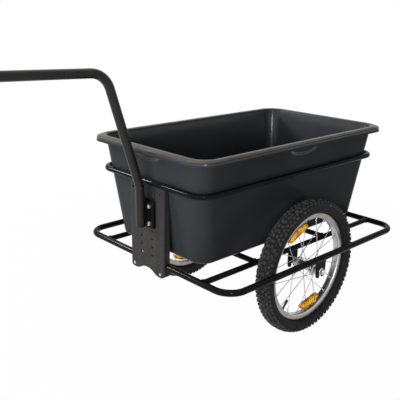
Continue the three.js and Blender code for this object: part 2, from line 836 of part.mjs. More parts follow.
function loft(rings) {
  const count = rings[0].length;
  const first = new THREE.Vector3(0, 0, rings[0][0].z);
  const last = new THREE.Vector3(0, 0, rings[rings.length - 1][0].z);
  const points = [first, ...rings.flat(), last];
  const at = (ring, i) => 1 + ring * count + (i % count);
  const index = [];
  for (let i = 0; i < count; i += 1) {
    index.push(0, at(0, i + 1), at(0, i));
    index.push(points.length - 1, at(rings.length - 1, i), at(rings.length - 1, i + 1));
    for (let ring = 0; ring < rings.length - 1; ring += 1) {
      index.push(at(ring, i), at(ring, i + 1), at(ring + 1, i + 1));
      index.push(at(ring, i), at(ring + 1, i + 1), at(ring + 1, i));
    }
  }
  return new THREE.BufferGeometry().setFromPoints(points).setIndex(index);
}

// Coupling, built forward along -Y from the drawbar's end, on its centreline
const sleeveStart = spindleCollar + seat * 2;
const sleeveEnd = sleeveStart + sleeveLength;
const spindleEnd = sleeveEnd + seat + spindleHeadThickness;
const pitchReach = spindleEnd + lugClearance + knuckleHeight / 2;
const yawPlace = pitchReach + yawReach;
const clampBack = yawPlace + neckReach;
const clampBoltOffset = postDiameter / 2 + clampBoltWall;
const clampHalfWidth = clampBoltOffset + clampSideWall;
const postPlace = clampBack + clampWall + postDiameter / 2;
const clampFront = postPlace + clampWall + postDiameter / 2;
const earInside = knuckleHeight / 2 + seat;
const earOutside = earInside + earThickness;
const cheekInside = knuckleWidth / 2 + seat;
const cheekOutside = cheekInside + cheekThickness;

function hitchSpindle() {
  const collar = drawbarTube / 2;
  const pin = spindleDiameter / 2;
  const head = spindleHead / 2;
  const outline = [
    [0, seat], [collar, seat], [collar, sleeveStart - seat], [pin, sleeveStart - seat],
    [pin, sleeveEnd + seat], [head, sleeveEnd + seat], [head, spindleEnd], [0, spindleEnd],
  ];
  return turned(outline, drawbarSides).rotateZ(-Math.PI / 2);
}

function hitchYoke() {
  const sleeve = rod('y', sleeveDiameter / 2, -sleeveEnd, -sleeveStart, drawbarSides);
  const cheeks = [-1, 1].map((side) => {
    const round = cheekHeight / 2;
    const shape = new THREE.Shape();
    shape.moveTo(-sleeveStart - sleeveLength / 2, round);
    shape.lineTo(-pitchReach, round);
    shape.absarc(-pitchReach, 0, round, Math.PI / 2, (Math.PI * 3) / 2, false);
    shape.lineTo(-sleeveStart - sleeveLength / 2, -round);
    const plate = prism(shape, cheekThickness).rotateX(Math.PI / 2).rotateZ(Math.PI / 2);
    return solid(plate.translate(side > 0 ? cheekInside : -cheekOutside, 0, 0));
  });
  const bore = rod('y', spindleDiameter / 2 + play, -sleeveEnd - overrun, overrun, drawbarSides);
  const eye = rod('x', pinDiameter / 2 + play, -cheekOutside - overrun, cheekOutside + overrun);
  return cut(joined([solid(sleeve), ...cheeks]), [solid(bore), solid(eye.translate(0, -pitchReach, 0))]);
}

// A headed pin along +Z through a stack of the given half height, held by a collar at its far end
function headedPin(half) {
  const radius = pinDiameter / 2;
  const head = pinHead / 2;
  const inner = half + seat;
  const outer = inner + pinHeadThickness;
  return turned([
    [0, -outer], [head, -outer], [head, -inner], [radius, -inner],
    [radius, inner], [head, inner], [head, outer], [0, outer],
  ], tubeSides);
}

function hitchPin() {
  return headedPin(cheekOutside).translate(0, -pitchReach, 0);
}

function swivelPin() {
  return headedPin(earOutside).rotateY(Math.PI / 2).translate(0, -yawPlace, 0);
}

function hitchKnuckle() {
  const half = knuckleWidth / 2;
  const high = knuckleHeight / 2;
  const lug = rod('x', high, -half, half, roundSides).translate(0, -pitchReach, 0);
  const bar = box(new THREE.Vector3(-half, -yawPlace, -high), new THREE.Vector3(half, -pitchReach, high));
  const nose = rod('z', half, -high, high, roundSides).translate(0, -yawPlace, 0);
  const pitchEye = rod('x', pinDiameter / 2 + play, -half - overrun, half + overrun).translate(0, -pitchReach, 0);
  const yawEye = rod('z', pinDiameter / 2 + play, -high - overrun, high + overrun).translate(0, -yawPlace, 0);
  return cut(joined([solid(lug), solid(bar), solid(nose)]), [solid(pitchEye), solid(yawEye)]);
}

function clampCutters() {
  const post = rod('z', postDiameter / 2, -earOutside - overrun, earOutside + overrun, roundSides).translate(0, -postPlace, 0);
  const bolts = [-1, 1].map((side) => {
    const bore = rod('y', clampBoltDiameter / 2 + seat, -clampFront - overrun, -clampBack + overrun, holeSides);
    return solid(bore.translate(side * clampBoltOffset, 0, 0));
  });
  return [solid(post), ...bolts];
}

function clampRear() {
  const round = knuckleHeight / 2;
  const block = box(
    new THREE.Vector3(-clampHalfWidth, -postPlace + clampSplit / 2, -earOutside),
    new THREE.Vector3(clampHalfWidth, -clampBack, earOutside),
  );
  const ears = [-earOutside, earInside].map((z) => {
    const shape = new THREE.Shape();
    shape.moveTo(-round, -clampBack - seat);
    shape.lineTo(-round, -yawPlace);
    shape.absarc(0, -yawPlace, round, Math.PI, 0, true);
    shape.lineTo(round, -clampBack - seat);
    return solid(prism(shape, earThickness).translate(0, 0, z));
  });
  const eye = rod('z', pinDiameter / 2 + play, -earOutside - overrun, earOutside + overrun).translate(0, -yawPlace, 0);
  return cut(joined([solid(block), ...ears]), [...clampCutters(), solid(eye)]);
}

function clampCap() {
  const block = box(
    new THREE.Vector3(-clampHalfWidth, -clampFront, -earOutside),
    new THREE.Vector3(clampHalfWidth, -postPlace - clampSplit / 2, earOutside),
  );
  return cut(solid(block), clampCutters());
}

function clampBolt(side) {
  const shank = solid(rod('y', clampBoltDiameter / 2, -clampFront - boltHeadHeight / 2, -clampBack + boltHeadHeight / 2, holeSides));
  const head = hexHead(boltHeadWidth, boltHeadHeight).rotateX(Math.PI / 2).translate(0, -clampFront - seat, 0);
  const nut = hexHead(boltHeadWidth, boltHeadHeight).rotateX(Math.PI / 2);
  const nutSolid = solid(nut.translate(0, -clampBack + seat + boltHeadHeight, 0));
  return geometryOf(joined([shank, solid(head), nutSolid])).translate(side * clampBoltOffset, 0, 0);
}

// Assembly
const trailer = new THREE.Group();
const sideNames = [['left', 1], ['right', -1]];

function add(parent, name, form, material) {
  const geometry = form.getMesh ? geometryOf(form) : welded(form);
  parent.add(named(name, geometry, material));
}

function addChassis(parent) {
  add(parent, 'base_loop', baseLoop(), blackPaint());
  add(parent, 'cross_bar_front', crossBar(-crossFront), blackPaint());
  add(parent, 'cross_bar_rear', crossBar(crossRear), blackPaint());
  add(parent, 'tub_ring', tubRing(), blackPaint());
  add(parent, 'front_plate', frontPlate(), sheetPaint());
  sideNames.forEach(([name, side]) => {
    add(parent, `inner_rail_${name}`, innerRail(side), blackPaint());
    add(parent, `axle_bracket_${name}_inner`, axleBracket(side * railOffset, railTube), blackPaint());
    add(parent, `axle_bracket_${name}_outer`, axleBracket(side * loopHalfWidth, loopTube), blackPaint());
    add(parent, `rear_upright_${name}`, rearUpright(side), blackPaint());
    add(parent, `rear_reflector_${name}`, rearReflector(side), red());
  });
}

function addDrawbar(parent) {
  add(parent, 'drawbar', drawbar(), blackPaint());
  add(parent, 'drawbar_bracket', drawbarBracket(), blackPaint());
  boltPlaces().forEach((place, i) => add(parent, `drawbar_bolt_${i + 1}`, drawbarBolt(place), plated()));
}

function addWheel(parent, name, side) {
  const wheel = new THREE.Group();
  wheel.position.set(side * wheelOffset, 0, axleHeight);
  wheel.rotation.z = side > 0 ? 0 : Math.PI;
  add(wheel, `axle_${name}`, axle(), plated());
  add(wheel, `axle_nut_${name}_outer`, axleNut(1), plated());
  add(wheel, `axle_nut_${name}_inner`, axleNut(-1), plated());
  add(wheel, `tyre_${name}`, tyre(), rubber());
  add(wheel, `rim_${name}`, rim(), alloy());
  add(wheel, `hub_${name}`, hub(), alloy());
  add(wheel, `spokes_${name}_outer`, spokeSet(1), plated());
  add(wheel, `spokes_${name}_inner`, spokeSet(-1), plated());
  add(wheel, `valve_${name}`, valve(), rubber());
  reflectorAngles.forEach((angle, i) => add(wheel, `spoke_reflector_${name}_${i + 1}`, spokeReflector(angle), amber()));
  parent.add(wheel);
}

function addCoupling(parent) {
  const coupling = new THREE.Group();
  coupling.position.copy(drawbarEnd());
  coupling.rotation.x = -drawbarRise;
  add(coupling, 'hitch_spindle', hitchSpindle(), plated());
  add(coupling, 'hitch_yoke', hitchYoke(), blackPaint());
  add(coupling, 'hitch_pin', hitchPin(), plated());
  add(coupling, 'hitch_knuckle', hitchKnuckle(), plated());
  add(coupling, 'swivel_pin', swivelPin(), plated());
  add(coupling, 'post_clamp', clampRear(), blackPaint());
  add(coupling, 'post_clamp_cap', clampCap(), blackPaint());
  sideNames.forEach(([name, side]) => add(coupling, `clamp_bolt_${name}`, clampBolt(side), plated()));
  parent.add(coupling);
}

addChassis(trailer);
addDrawbar(trailer);
add(trailer, 'tub', tub(), blackPlastic());
sideNames.forEach(([name, side]) => addWheel(trailer, name, side));
addCoupling(trailer);

// The origin goes to the middle of the trailer's length, on the ground
const coupling = drawbarEnd();
const frontEnd = coupling.y - (clampFront + seat + boltHeadHeight) * Math.cos(drawbarRise)
  - boltHeadWidth / 2 * Math.sin(drawbarRise);
const loopEnd = loopRear + loopTube / 2 * Math.cos(Math.PI / tubeSides);
const rearEnd = Math.max(loopEnd, uprightBack + seat + rearReflectorThickness);
trailer.position.y = -(frontEnd + rearEnd) / 2;

export default trailer;
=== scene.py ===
# The finish and fine shapes of a cargo bike trailer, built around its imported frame.
# Metres. +Z is up, -Y points forward to the bicycle, and +X is the trailer's left side.
import json
import math
import random

import bmesh
import bpy
from mathutils import Matrix, Vector
from mathutils.geometry import tessellate_polygon


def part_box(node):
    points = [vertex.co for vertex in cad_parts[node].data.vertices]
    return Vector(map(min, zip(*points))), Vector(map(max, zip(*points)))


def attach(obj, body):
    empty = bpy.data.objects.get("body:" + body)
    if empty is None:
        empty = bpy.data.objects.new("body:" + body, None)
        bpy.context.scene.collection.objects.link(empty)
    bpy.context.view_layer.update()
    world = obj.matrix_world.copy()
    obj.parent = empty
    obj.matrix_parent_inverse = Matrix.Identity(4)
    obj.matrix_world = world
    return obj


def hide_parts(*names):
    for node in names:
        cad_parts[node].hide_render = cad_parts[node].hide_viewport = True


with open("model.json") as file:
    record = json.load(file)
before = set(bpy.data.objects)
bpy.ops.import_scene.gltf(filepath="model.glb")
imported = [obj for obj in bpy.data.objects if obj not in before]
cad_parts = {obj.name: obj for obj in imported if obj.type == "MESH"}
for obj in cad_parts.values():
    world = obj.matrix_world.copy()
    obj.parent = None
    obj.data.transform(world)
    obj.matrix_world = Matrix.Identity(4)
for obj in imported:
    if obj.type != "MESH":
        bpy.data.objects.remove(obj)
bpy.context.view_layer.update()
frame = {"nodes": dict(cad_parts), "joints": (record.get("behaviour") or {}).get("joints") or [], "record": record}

mm = 0.001
joints = {joint["name"]: joint for joint in frame["joints"]}
record = frame["record"]
body_of = {node: body for body, nodes in record["behaviour"]["bodies"].items() for node in nodes}
slot_of = {part["node"]: part["material_slot"] for part in record["subparts"]}
axle_y = joints["left_wheel_spin"]["pos_m"][1]
axle_height = joints["left_wheel_spin"]["pos_m"][2]
sides = {"left": 1, "right": -1}

# Fineness of round forms
tube_sides = 32
bend_steps = 18
wheel_segments = 120
turned_segments = 32
hole_segments = 20
small_segments = 12
fine_segments = 64
spoke_sides = 8
bead_sides = 8
bead_steps = 16
weld_steps = 40
weld_distance = 0.002 * mm
seat = 0.3 * mm

# Camera, fitted to the photo: its angles in degrees, its distance and the point it looks at
camera_azimuth = 46.87
camera_elevation = 17.54
camera_roll = 0.84
camera_distance = 1898.72 * mm
camera_target = (-85.16 * mm, -101.35 * mm, 337.89 * mm)
camera_focus = 610.51
photo_width = 400
principal_point = (200.85, 199.86)
sensor_width = 36

# Chassis tubes, by their centrelines and measured from the axle
loop_tube = 18 * mm
loop_half_width = 307 * mm
loop_front = 368 * mm
loop_rear = 388 * mm
loop_corner = 52 * mm
rail_tube = 16 * mm
rail_offset = 206 * mm
cross_tube = 16 * mm
ring_tube = 15 * mm
ring_corner = 48 * mm
frame_tube_sides = 10
loop_height = sum(corner.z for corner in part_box("inner_rail_left")) / 2
ring_height = sum(corner.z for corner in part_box("tub_ring")) / 2

# Axle brackets, welds and rivets
dropout_waist = 5 * mm
dropout_lift = 12 * mm
dropout_slot = 5.3 * mm
dropout_edge = 0.6 * mm
dropout_weld = 1.6 * mm
dropout_weld_rise = 0.8 * mm
dropout_weld_share = 0.96
sheet_edge = 0.5 * mm
tube_weld = 2.2 * mm
sheet_weld = 2 * mm
weld_margin = 2 * mm
kink_bead = 0.9 * mm
bracket_weld_offset = 7 * mm
bracket_weld_gap = 1.2 * mm
rivet_head_radius = 3.8 * mm
rivet_head_height = 2.2 * mm
rivet_shank_radius = 2.9 * mm
rivet_depth = 6 * mm
rivet_overlap = 0.5 * mm

# Tub
tub_low, tub_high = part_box("tub")
tub_middle = (tub_low.y + tub_high.y) / 2
rim_half_width = tub_high.x
rim_half_length = (tub_high.y - tub_low.y) / 2
rim_corner = 54 * mm
rim_round = 3 * mm
rim_land = 12 * mm
rim_drop = 3 * mm
rim_crown = 0.4 * mm
rim_crown_half = 1.5 * mm
# Depth of the rim's top band, whose lighter brown tone is partly wear and partly painted sheen
wear_and_sheen_depth = 4.5 * mm
lip_lean = 2 * mm
flange = 22 * mm
lip_height = 17 * mm
lip_wall = 3.5 * mm
lip_round = lip_wall * 0.4
lip_start_share = 0.3
tub_wall = 4 * mm
tub_draft = 0.12
tub_corner = 44 * mm
tub_bottom_round = 14 * mm
tub_play = 2 * mm
scoop_depth = 3 * mm
scoop_shift = 18 * mm
scoop_soft_share = 0.35
scoop_top = 6 * mm
inner_round = 6 * mm
scoop_half_widths = (76 * mm, 62 * mm)
scoop_drops = (44 * mm, 40 * mm)
scoop_level = 62 * mm
scoop_dense_half = 110 * mm

# Front plate and drawbar bracket
plate_low, plate_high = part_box("front_plate")
plate_thickness = 3 * mm
plate_fold = 5 * mm
arch_height = 15 * mm
foot_offset = 54 * mm
foot_round = 14 * mm
notch_half_width = 38 * mm
notch_depth = 62 * mm
horn_flare = 15 * mm
horn_height = 26 * mm
hole_diameter = 6.5 * mm
hole_column = 22 * mm
hole_pitch = 24 * mm
hole_rows = 7
first_hole_rise = 22 * mm
horn_hole_offset = 56 * mm
horn_hole_drop = 17 * mm
foot_hole_rise = 10 * mm
bracket_low, bracket_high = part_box("drawbar_bracket")
bracket_sheet = 2.5 * mm
edge_round = 0.4 * mm
plate_bleed = 0.1 * mm
cutter_reach = 10 * mm

# Rear reflectors, and the facets of every lens
rear_reflector_border = 4 * mm
lens_prism = 2.2 * mm

# Depths of the surfaces' grain
paint_grain = 0.1 * mm
sheet_grain = 0.3 * mm
tub_grain = 0.1 * mm
tub_waves = 2 * mm
tyre_grain = 0.4 * mm
alloy_grain = 0.08 * mm
steel_grain = 0.05 * mm
valve_grain = 0.1 * mm
lens_grain = 0.5 * mm

# Drawbar, by its centreline
drawbar_tube = 24 * mm
kink_rise = 216 * mm
drawbar_top = 518 * mm
upper_bend_reach = 97.5 * mm
kink_radius = 30 * mm
upper_bend_radius = 58 * mm
tube_end_round = 0.8 * mm

# Bolts, nuts and axles
bolt_radius = 3 * mm
bolt_head_width = 11 * mm
bolt_head_height = 4.5 * mm
bolt_chamfer = 0.5 * mm
broken_edge = 0.6 * mm
bolt_washer_radius = 6.6 * mm
bolt_washer = 1.1 * mm
bolt_tail = 2.25 * mm
axle_radius = 5 * mm
cone_radius = 8.5 * mm
nut_width = 15 * mm
nut_height = 7 * mm
nut_chamfer = 0.9 * mm
lock_length = 10 * mm
washer_radius = 10.5 * mm
washer_thickness = 1.5 * mm
washer_chamfer = 0.25 * mm
thread_pitch = 1.1 * mm
thread_depth = 0.4 * mm

# Wheel
tyre_radius = axle_height
knob_height = 4 * mm
knob_count = 78
knob_corner = 1.3 * mm
knob_root = 1 * mm
knob_slope = 0.1 * mm
knob_edge = 0.8 * mm
middle_knob = (9.6 * mm, 12 * mm)
crown_knob = (9.6 * mm, 7.4 * mm)
side_knob = (8.6 * mm, 7.2 * mm)
shoulder_knob_lengths = (7.6 * mm, 10 * mm)
shoulder_knob_width = 8.4 * mm
crown_turn, side_turn, shoulder_turn = 0.245, 0.63, 1.08
rim_radius = 160 * mm
rim_half = 12.5 * mm
rim_wall = 1.8 * mm
hook_height = 6.3 * mm
flange_start = 148 * mm
rim_bed = 144.5 * mm
spoke_count = 20
crossings = 2
spoke_radius = 1.05 * mm
spoke_head_radius = 2 * mm
spoke_head_height = 1.1 * mm
nipple_length = 13 * mm
hub_flange_offset = 27 * mm
hub_flange_thickness = 3 * mm
hub_hole_radius = 17 * mm
hub_length = 70 * mm
carcass_centre = 176.5 * mm
carcass_rise = 19 * mm
carcass_half = 24 * mm
tyre_squareness = 0.8
carcass_turn = 2.2
carcass_steps = 44
rib_height = 0.5 * mm
rib_bands = ((1.55, 1.66), (2, 2.12))
shoulder_knob_height = 4.4 * mm
first_spoke_angle = math.radians(5.7)
valve_angle = math.radians(-132.3)
reflector_angles = (math.radians(113.7), math.radians(-78.3))
reflector_length = 84 * mm
reflector_height = 25 * mm
reflector_rim_gap = 5 * mm
reflector_squareness = 0.8


def at(x, y, z):
    """A place given across the trailer, behind the axle and above the ground."""
    return Vector((x, axle_y + y, z))


# Shader building

def add_node(tree, kind, inputs=None, **settings):
    """A shader node with its settings. Each input is a value, or another node's output."""
    made = tree.nodes.new(kind)
    for name, value in settings.items():
        setattr(made, name, value)
    for socket, value in (inputs or {}).items():
        if isinstance(value, bpy.types.NodeSocket):
            tree.links.new(value, made.inputs[socket])
        else:
            made.inputs[socket].default_value = value
    return made


class Finish:
    """A material whose texture nodes are added around its Principled shader."""

    def __init__(self, name, colour, roughness, **sockets):
        self.material = bpy.data.materials.new(name)
        self.material.use_nodes = True
        self.tree = self.material.node_tree
        self.surface = self.tree.nodes["Principled BSDF"]
        self.surface.inputs["Base Color"].default_value = (*colour, 1)
        self.surface.inputs["Roughness"].default_value = roughness
        for socket, value in sockets.items():
            self.surface.inputs[socket.replace("_", " ").title().replace("Ior", "IOR")].default_value = value
        self.place = self.node("ShaderNodeTexCoord").outputs["Object"]

    def node(self, kind, inputs=None, **settings):
        return add_node(self.tree, kind, inputs, **settings)

    def link(self, output, target):
        self.tree.links.new(output, target)

    def stretched(self, scale):
        return self.node("ShaderNodeMapping", {"Vector": self.place, "Scale": scale}).outputs["Vector"]

    def noise(self, scale, detail=3, place=None):
        inputs = {"Vector": place or self.place, "Scale": scale, "Detail": detail}
        return self.node("ShaderNodeTexNoise", inputs).outputs["Fac"]

    def cells(self, scale):
        return self.node("ShaderNodeTexVoronoi", {"Vector": self.place, "Scale": scale}).outputs["Distance"]

    def axes(self, vector):
        return self.node("ShaderNodeSeparateXYZ", {0: vector}).outputs

    def math(self, operation, first, second=0.0):
        return self.node("ShaderNodeMath", {0: first, 1: second}, operation=operation).outputs[0]

    def ramp(self, factor, stops):
        """Values or colours that the factor runs through, as (place, value) pairs."""
        made = self.node("ShaderNodeValToRGB")
        elements = made.color_ramp.elements
        while len(elements) < len(stops):
            elements.new(0.5)
        for element, (place, value) in zip(elements, stops):
            element.position = place
            element.color = (*value, 1) if isinstance(value, tuple) else (value, value, value, 1)
        self.link(factor, made.inputs["Fac"])
        return made.outputs["Color"]

    def mixed(self, factor, first, second):
        made = self.node("ShaderNodeMix", data_type="RGBA")
        colours = [socket for socket in made.inputs if socket.type == "RGBA"]
        self.link(factor, made.inputs["Factor"])
        for socket, value in zip(colours, (first, second)):
            if isinstance(value, tuple):
                socket.default_value = (*value, 1)
            else:
                self.link(value, socket)
        return [socket for socket in made.outputs if socket.type == "RGBA"][0]

    def set(self, socket, output):
        self.link(output, self.surface.inputs[socket])

    def bump(self, *layers):
        """Stacked bumps, each as (height, strength, distance)."""
        normal = None
        for height, strength, distance in layers:
            made = self.node("ShaderNodeBump", {"Height": height, "Strength": strength, "Distance": distance})
            if normal:
                self.link(normal, made.inputs["Normal"])
            normal = made.outputs["Normal"]
        self.set("Normal", normal)

    def upward(self):
        """How far the surface faces up, from 0 at a wall to 1 on a level top."""
        return self.axes(self.node("ShaderNodeNewGeometry").outputs["Normal"])["Z"]


def black_paint():
    finish = Finish("black_paint", (0.004, 0.004, 0.0045), 0.16, specular_ior_level=0.03, coat_weight=0.05,
                    coat_roughness=0.05)
    haze = finish.noise(22, 4)
    finish.set("Roughness", finish.ramp(haze, [(0.3, 0.12), (0.7, 0.18)]))
    settled = finish.ramp(finish.upward(), [(0.2, 0.0), (1.0, 1.0)])
    dust = finish.math("MULTIPLY", finish.noise(60, 6), settled)
    finish.set("Base Color", finish.mixed(finish.ramp(dust, [(0.4, 0.0), (0.9, 0.5)]),
                                          (0.004, 0.004, 0.0045), (0.016, 0.015, 0.0145)))
    finish.bump((finish.noise(420, 2), 0.02, paint_grain))
    return finish.material


def drawbar_paint():
    finish = Finish("drawbar_paint", (0.013, 0.0122, 0.0118), 0.3, specular_ior_level=0.16)
    worn = finish.noise(30, 4, finish.stretched((1, 1, 0.3)))
    tones = [(0.3, (0.0105, 0.0098, 0.0095)), (0.7, (0.0155, 0.0146, 0.014))]
    finish.set("Base Color", finish.ramp(worn, tones))
    finish.set("Roughness", finish.ramp(finish.noise(22, 4), [(0.3, 0.26), (0.7, 0.34)]))
    finish.bump((finish.noise(420, 2), 0.05, paint_grain))
    return finish.material


def sheet_paint():
    finish = Finish("sheet_paint", (0.027, 0.0255, 0.025), 0.5, specular_ior_level=0.05)
    tones = [(0.3, (0.02, 0.0188, 0.0184)), (0.7, (0.028, 0.0266, 0.0262))]
    finish.set("Base Color", finish.ramp(finish.noise(150, 5), tones))
    finish.set("Roughness", finish.ramp(finish.noise(14), [(0.3, 0.42), (0.7, 0.58)]))
    finish.bump((finish.noise(900, 3), 0.35, sheet_grain))
    return finish.material


def tub_plastic():
    finish = Finish("tub_plastic", (0.02, 0.021, 0.023), 0.24, specular_ior_level=0.05)
    clouds = finish.noise(5, 3)
    walls = finish.ramp(clouds, [(0.3, (0.0182, 0.0205, 0.0225)), (0.7, (0.0232, 0.0257, 0.028))])
    # The level top of the rim takes a lighter brown tone: partly wear, partly painted sheen of the overhead light.
    worn = finish.ramp(finish.noise(40, 5), [(0.3, (0.058, 0.049, 0.042)), (0.75, (0.1, 0.085, 0.073))])
    high = finish.math("GREATER_THAN", finish.axes(finish.place)["Z"], tub_high.z - wear_and_sheen_depth)
    rim_wear_and_sheen = finish.math("MULTIPLY", high, finish.ramp(finish.upward(), [(0.62, 0.0), (0.8, 1.0)]))
    finish.set("Base Color", finish.mixed(rim_wear_and_sheen, walls, worn))
    gloss = [(0.02, 0.02), (0.11, 0.34), (0.16, 0.34), (0.26, 0.05)]
    finish.set("Specular IOR Level", finish.ramp(finish.upward(), gloss))
    scuffs = finish.noise(24, 4, finish.stretched((1, 1, 0.4)))
    finish.set("Roughness", finish.ramp(scuffs, [(0.3, 0.21), (0.7, 0.26)]))
    finish.bump((finish.noise(1300, 2), 0.05, tub_grain), (finish.noise(9, 2), 0.08, tub_waves))
    return finish.material


def tyre_rubber():
    finish = Finish("tyre_rubber", (0.02, 0.02, 0.021), 0.72, specular_ior_level=0.12)
    dust = finish.noise(90, 6)
    # Painted highlight: the grey dusty tone shows only on convex edges such as the knobs' rims, and flat and
    # hollow rubber stays near black.
    edges = finish.ramp(finish.node("ShaderNodeNewGeometry").outputs["Pointiness"], [(0.49, 0.0), (0.6, 1.0)])
    dust_and_edge_highlight = finish.ramp(dust, [(0.35, (0.014, 0.014, 0.0155)), (0.7, (0.056, 0.054, 0.053))])
    finish.set("Base Color", finish.mixed(edges, (0.008, 0.008, 0.0085), dust_and_edge_highlight))
    finish.set("Roughness", finish.ramp(finish.noise(240, 3), [(0.3, 0.55), (0.7, 0.85)]))
    finish.bump((finish.noise(700, 3), 0.4, tyre_grain))
    return finish.material


def round_the_axle(finish):
    """Coordinates that follow the wheel's rings: the place along the axle and the distance from it."""
    axes = finish.axes(finish.place)
    ahead = finish.math("SUBTRACT", axes["Y"], axle_y)
    above = finish.math("SUBTRACT", axes["Z"], axle_height)
    squares = finish.math("ADD", finish.math("MULTIPLY", ahead, ahead), finish.math("MULTIPLY", above, above))
    ring = {"X": axes["X"], "Y": finish.math("SQRT", squares)}
    return finish.node("ShaderNodeCombineXYZ", ring).outputs["Vector"]


def brushed_alloy(name, colour, flange_colour, roughness):
    """Spun alloy, lighter and bluer near the axle and in the rim's bed, and darker and browner on the flanges that
    hold the tyre: both tones are painted reflection.
    """
    finish = Finish(name, colour, roughness, metallic=1.0)
    rings = round_the_axle(finish)
    grain = finish.noise(1500, 2, rings)
    stain = finish.noise(35, 5)
    flange = finish.math("GREATER_THAN", finish.axes(rings)["Y"], flange_start)
    painted_reflection_tone = finish.mixed(flange, colour, flange_colour)
    darker = finish.mixed(flange, tuple(channel * 0.75 for channel in colour),
                          tuple(channel * 0.7 for channel in flange_colour))
    finish.set("Base Color", finish.mixed(finish.ramp(stain, [(0.35, 0.0), (0.8, 1.0)]), painted_reflection_tone, darker))
    finish.set("Roughness", finish.ramp(grain, [(0.2, roughness * 0.7), (0.8, roughness * 1.35)]))
    finish.bump((grain, 0.25, alloy_grain))
    return finish.material


def plated_steel(name, colour, roughness):
    finish = Finish(name, colour, roughness, metallic=1.0)
    bloom = finish.noise(160, 5)
    shade = tuple(channel * 0.6 for channel in colour)
    finish.set("Base Color", finish.mixed(finish.ramp(bloom, [(0.45, 0.0), (0.8, 0.8)]), colour, shade))
    finish.set("Roughness", finish.ramp(bloom, [(0.3, roughness * 0.8), (0.8, roughness * 1.7)]))
    finish.bump((finish.noise(800, 2), 0.1, steel_grain))
    return finish.material


def valve_rubber():
    finish = Finish("valve_rubber", (0.01, 0.01, 0.011), 0.5, specular_ior_level=0.3)
    finish.set("Roughness", finish.ramp(finish.noise(400, 3), [(0.3, 0.4), (0.7, 0.65)]))
    finish.bump((finish.noise(1200, 2), 0.2, valve_grain))
    return finish.material


def lens(name, border, deep, bright):
    """A prismatic lens: small facets and patches that run from a deep to a bright tone, inside a plain border. The
    bright tones are painted retro-reflection.
    """
    finish = Finish(name, border, 0.15, specular_ior_level=0.25, coat_weight=0.1, coat_roughness=0.04)
    facets = finish.cells(1 / lens_prism)
    patches = finish.noise(70, 2)
    # Painted glints: the facets and patches lift the colour to the bright tone.
    painted_glints = finish.math("ADD", finish.math("MULTIPLY", facets, 0.3), finish.math("MULTIPLY", patches, 0.9))
    finish.set("Base Color", finish.ramp(painted_glints, [(0.4, border), (0.56, deep), (0.7, bright)]))
    finish.bump((facets, 0.5, lens_grain))
    return finish.material


materials = {
    "black_paint": black_paint(),
    "drawbar_paint": drawbar_paint(),
    "sheet_paint": sheet_paint(),
    "tub_plastic": tub_plastic(),
    "tyre_rubber": tyre_rubber(),
    # The rim's bluish bed tone and brown flange tone are painted reflection.
    "rim_alloy": brushed_alloy("rim_alloy", (0.5, 0.515, 0.53), (0.36, 0.325, 0.295), 0.36),
    "spoke_steel": plated_steel("spoke_steel", (0.5, 0.5, 0.5), 0.25),
    "plated_steel": plated_steel("plated_steel", (0.6, 0.6, 0.59), 0.28),
    "valve_rubber": valve_rubber(),
    # The lenses' bright tones, and the amber centres that are brighter than the amber borders, are painted
    # retro-reflection.
    "amber_lens": lens("amber_lens", (0.24, 0.05, 0.002), (0.55, 0.14, 0.003), (0.9, 0.4, 0.004)),
    "amber_centre": lens("amber_centre", (0.55, 0.17, 0.002), (0.9, 0.42, 0.003), (1.0, 0.75, 0.004)),
    "red_lens": lens("red_lens", (0.35, 0.006, 0.004), (0.6, 0.012, 0.006), (0.9, 0.05, 0.02)),
}


# Mesh building

def bridge(form, rows):
    """Faces between each row of corners and the next one."""
    for row, after in zip(rows, rows[1:]):
        for i, corner in enumerate(row):
            form.faces.new((corner, row[i - 1], after[i - 1], after[i]))


def skin(rings, loop=False, form=None):
    """A closed surface through rings with equal numbers of points, capped unless it closes on itself."""
    form = bmesh.new() if form is None else form
    rows = [[form.verts.new(point) for point in ring] for ring in rings]
    bridge(form, rows + rows[:1] if loop else rows)
    if not loop:
        form.faces.new(rows[0])
        form.faces.new(rows[-1])
    return form


def joined(forms):
    """Several separate solids in one mesh."""
    whole = bmesh.new()
    for form in forms:
        mesh = bpy.data.meshes.new("part")
        form.to_mesh(mesh)
        form.free()
        whole.from_mesh(mesh)
        bpy.data.meshes.remove(mesh)
    return whole


def moved(form, matrix):
    bmesh.ops.transform(form, matrix=matrix, verts=form.verts)
    return form


def tidied(form):
    bmesh.ops.remove_doubles(form, verts=form.verts, dist=weld_distance)
    bmesh.ops.dissolve_degenerate(form, edges=form.edges, dist=weld_distance)
    loose = [edge for edge in form.edges if not edge.link_faces]
    bmesh.ops.delete(form, geom=loose, context="EDGES")
    bmesh.ops.recalc_face_normals(form, faces=form.faces)
    return form


def frame_along(axis, place):
    """Stands a form that was made along Z along another axis, at a place."""
    return Matrix.Translation(place) @ Vector(axis).to_track_quat("Z", "Y").to_matrix().to_4x4()


def turned(outline, axis, place, segments=turned_segments):
    """A solid of revolution from its closed outline of (radius, place along the axis)."""
    rings = []
    for i in range(segments):
        angle = 2 * math.pi * i / segments
        rings.append([Vector((r * math.cos(angle), r * math.sin(angle), along)) for r, along in outline])
    return moved(tidied(skin(rings, loop=True)), frame_along(axis, place))


def cylinder(radius, start, end):
    """The outline of a plain cylinder, for turning."""
    return [(0, start), (radius, start), (radius, end), (0, end)]


def circle(radius, count, section_up, section_out):
    steps = (2 * math.pi * i / count for i in range(count))
    return [section_out * (radius * math.cos(t)) + section_up * (radius * math.sin(t)) for t in steps]


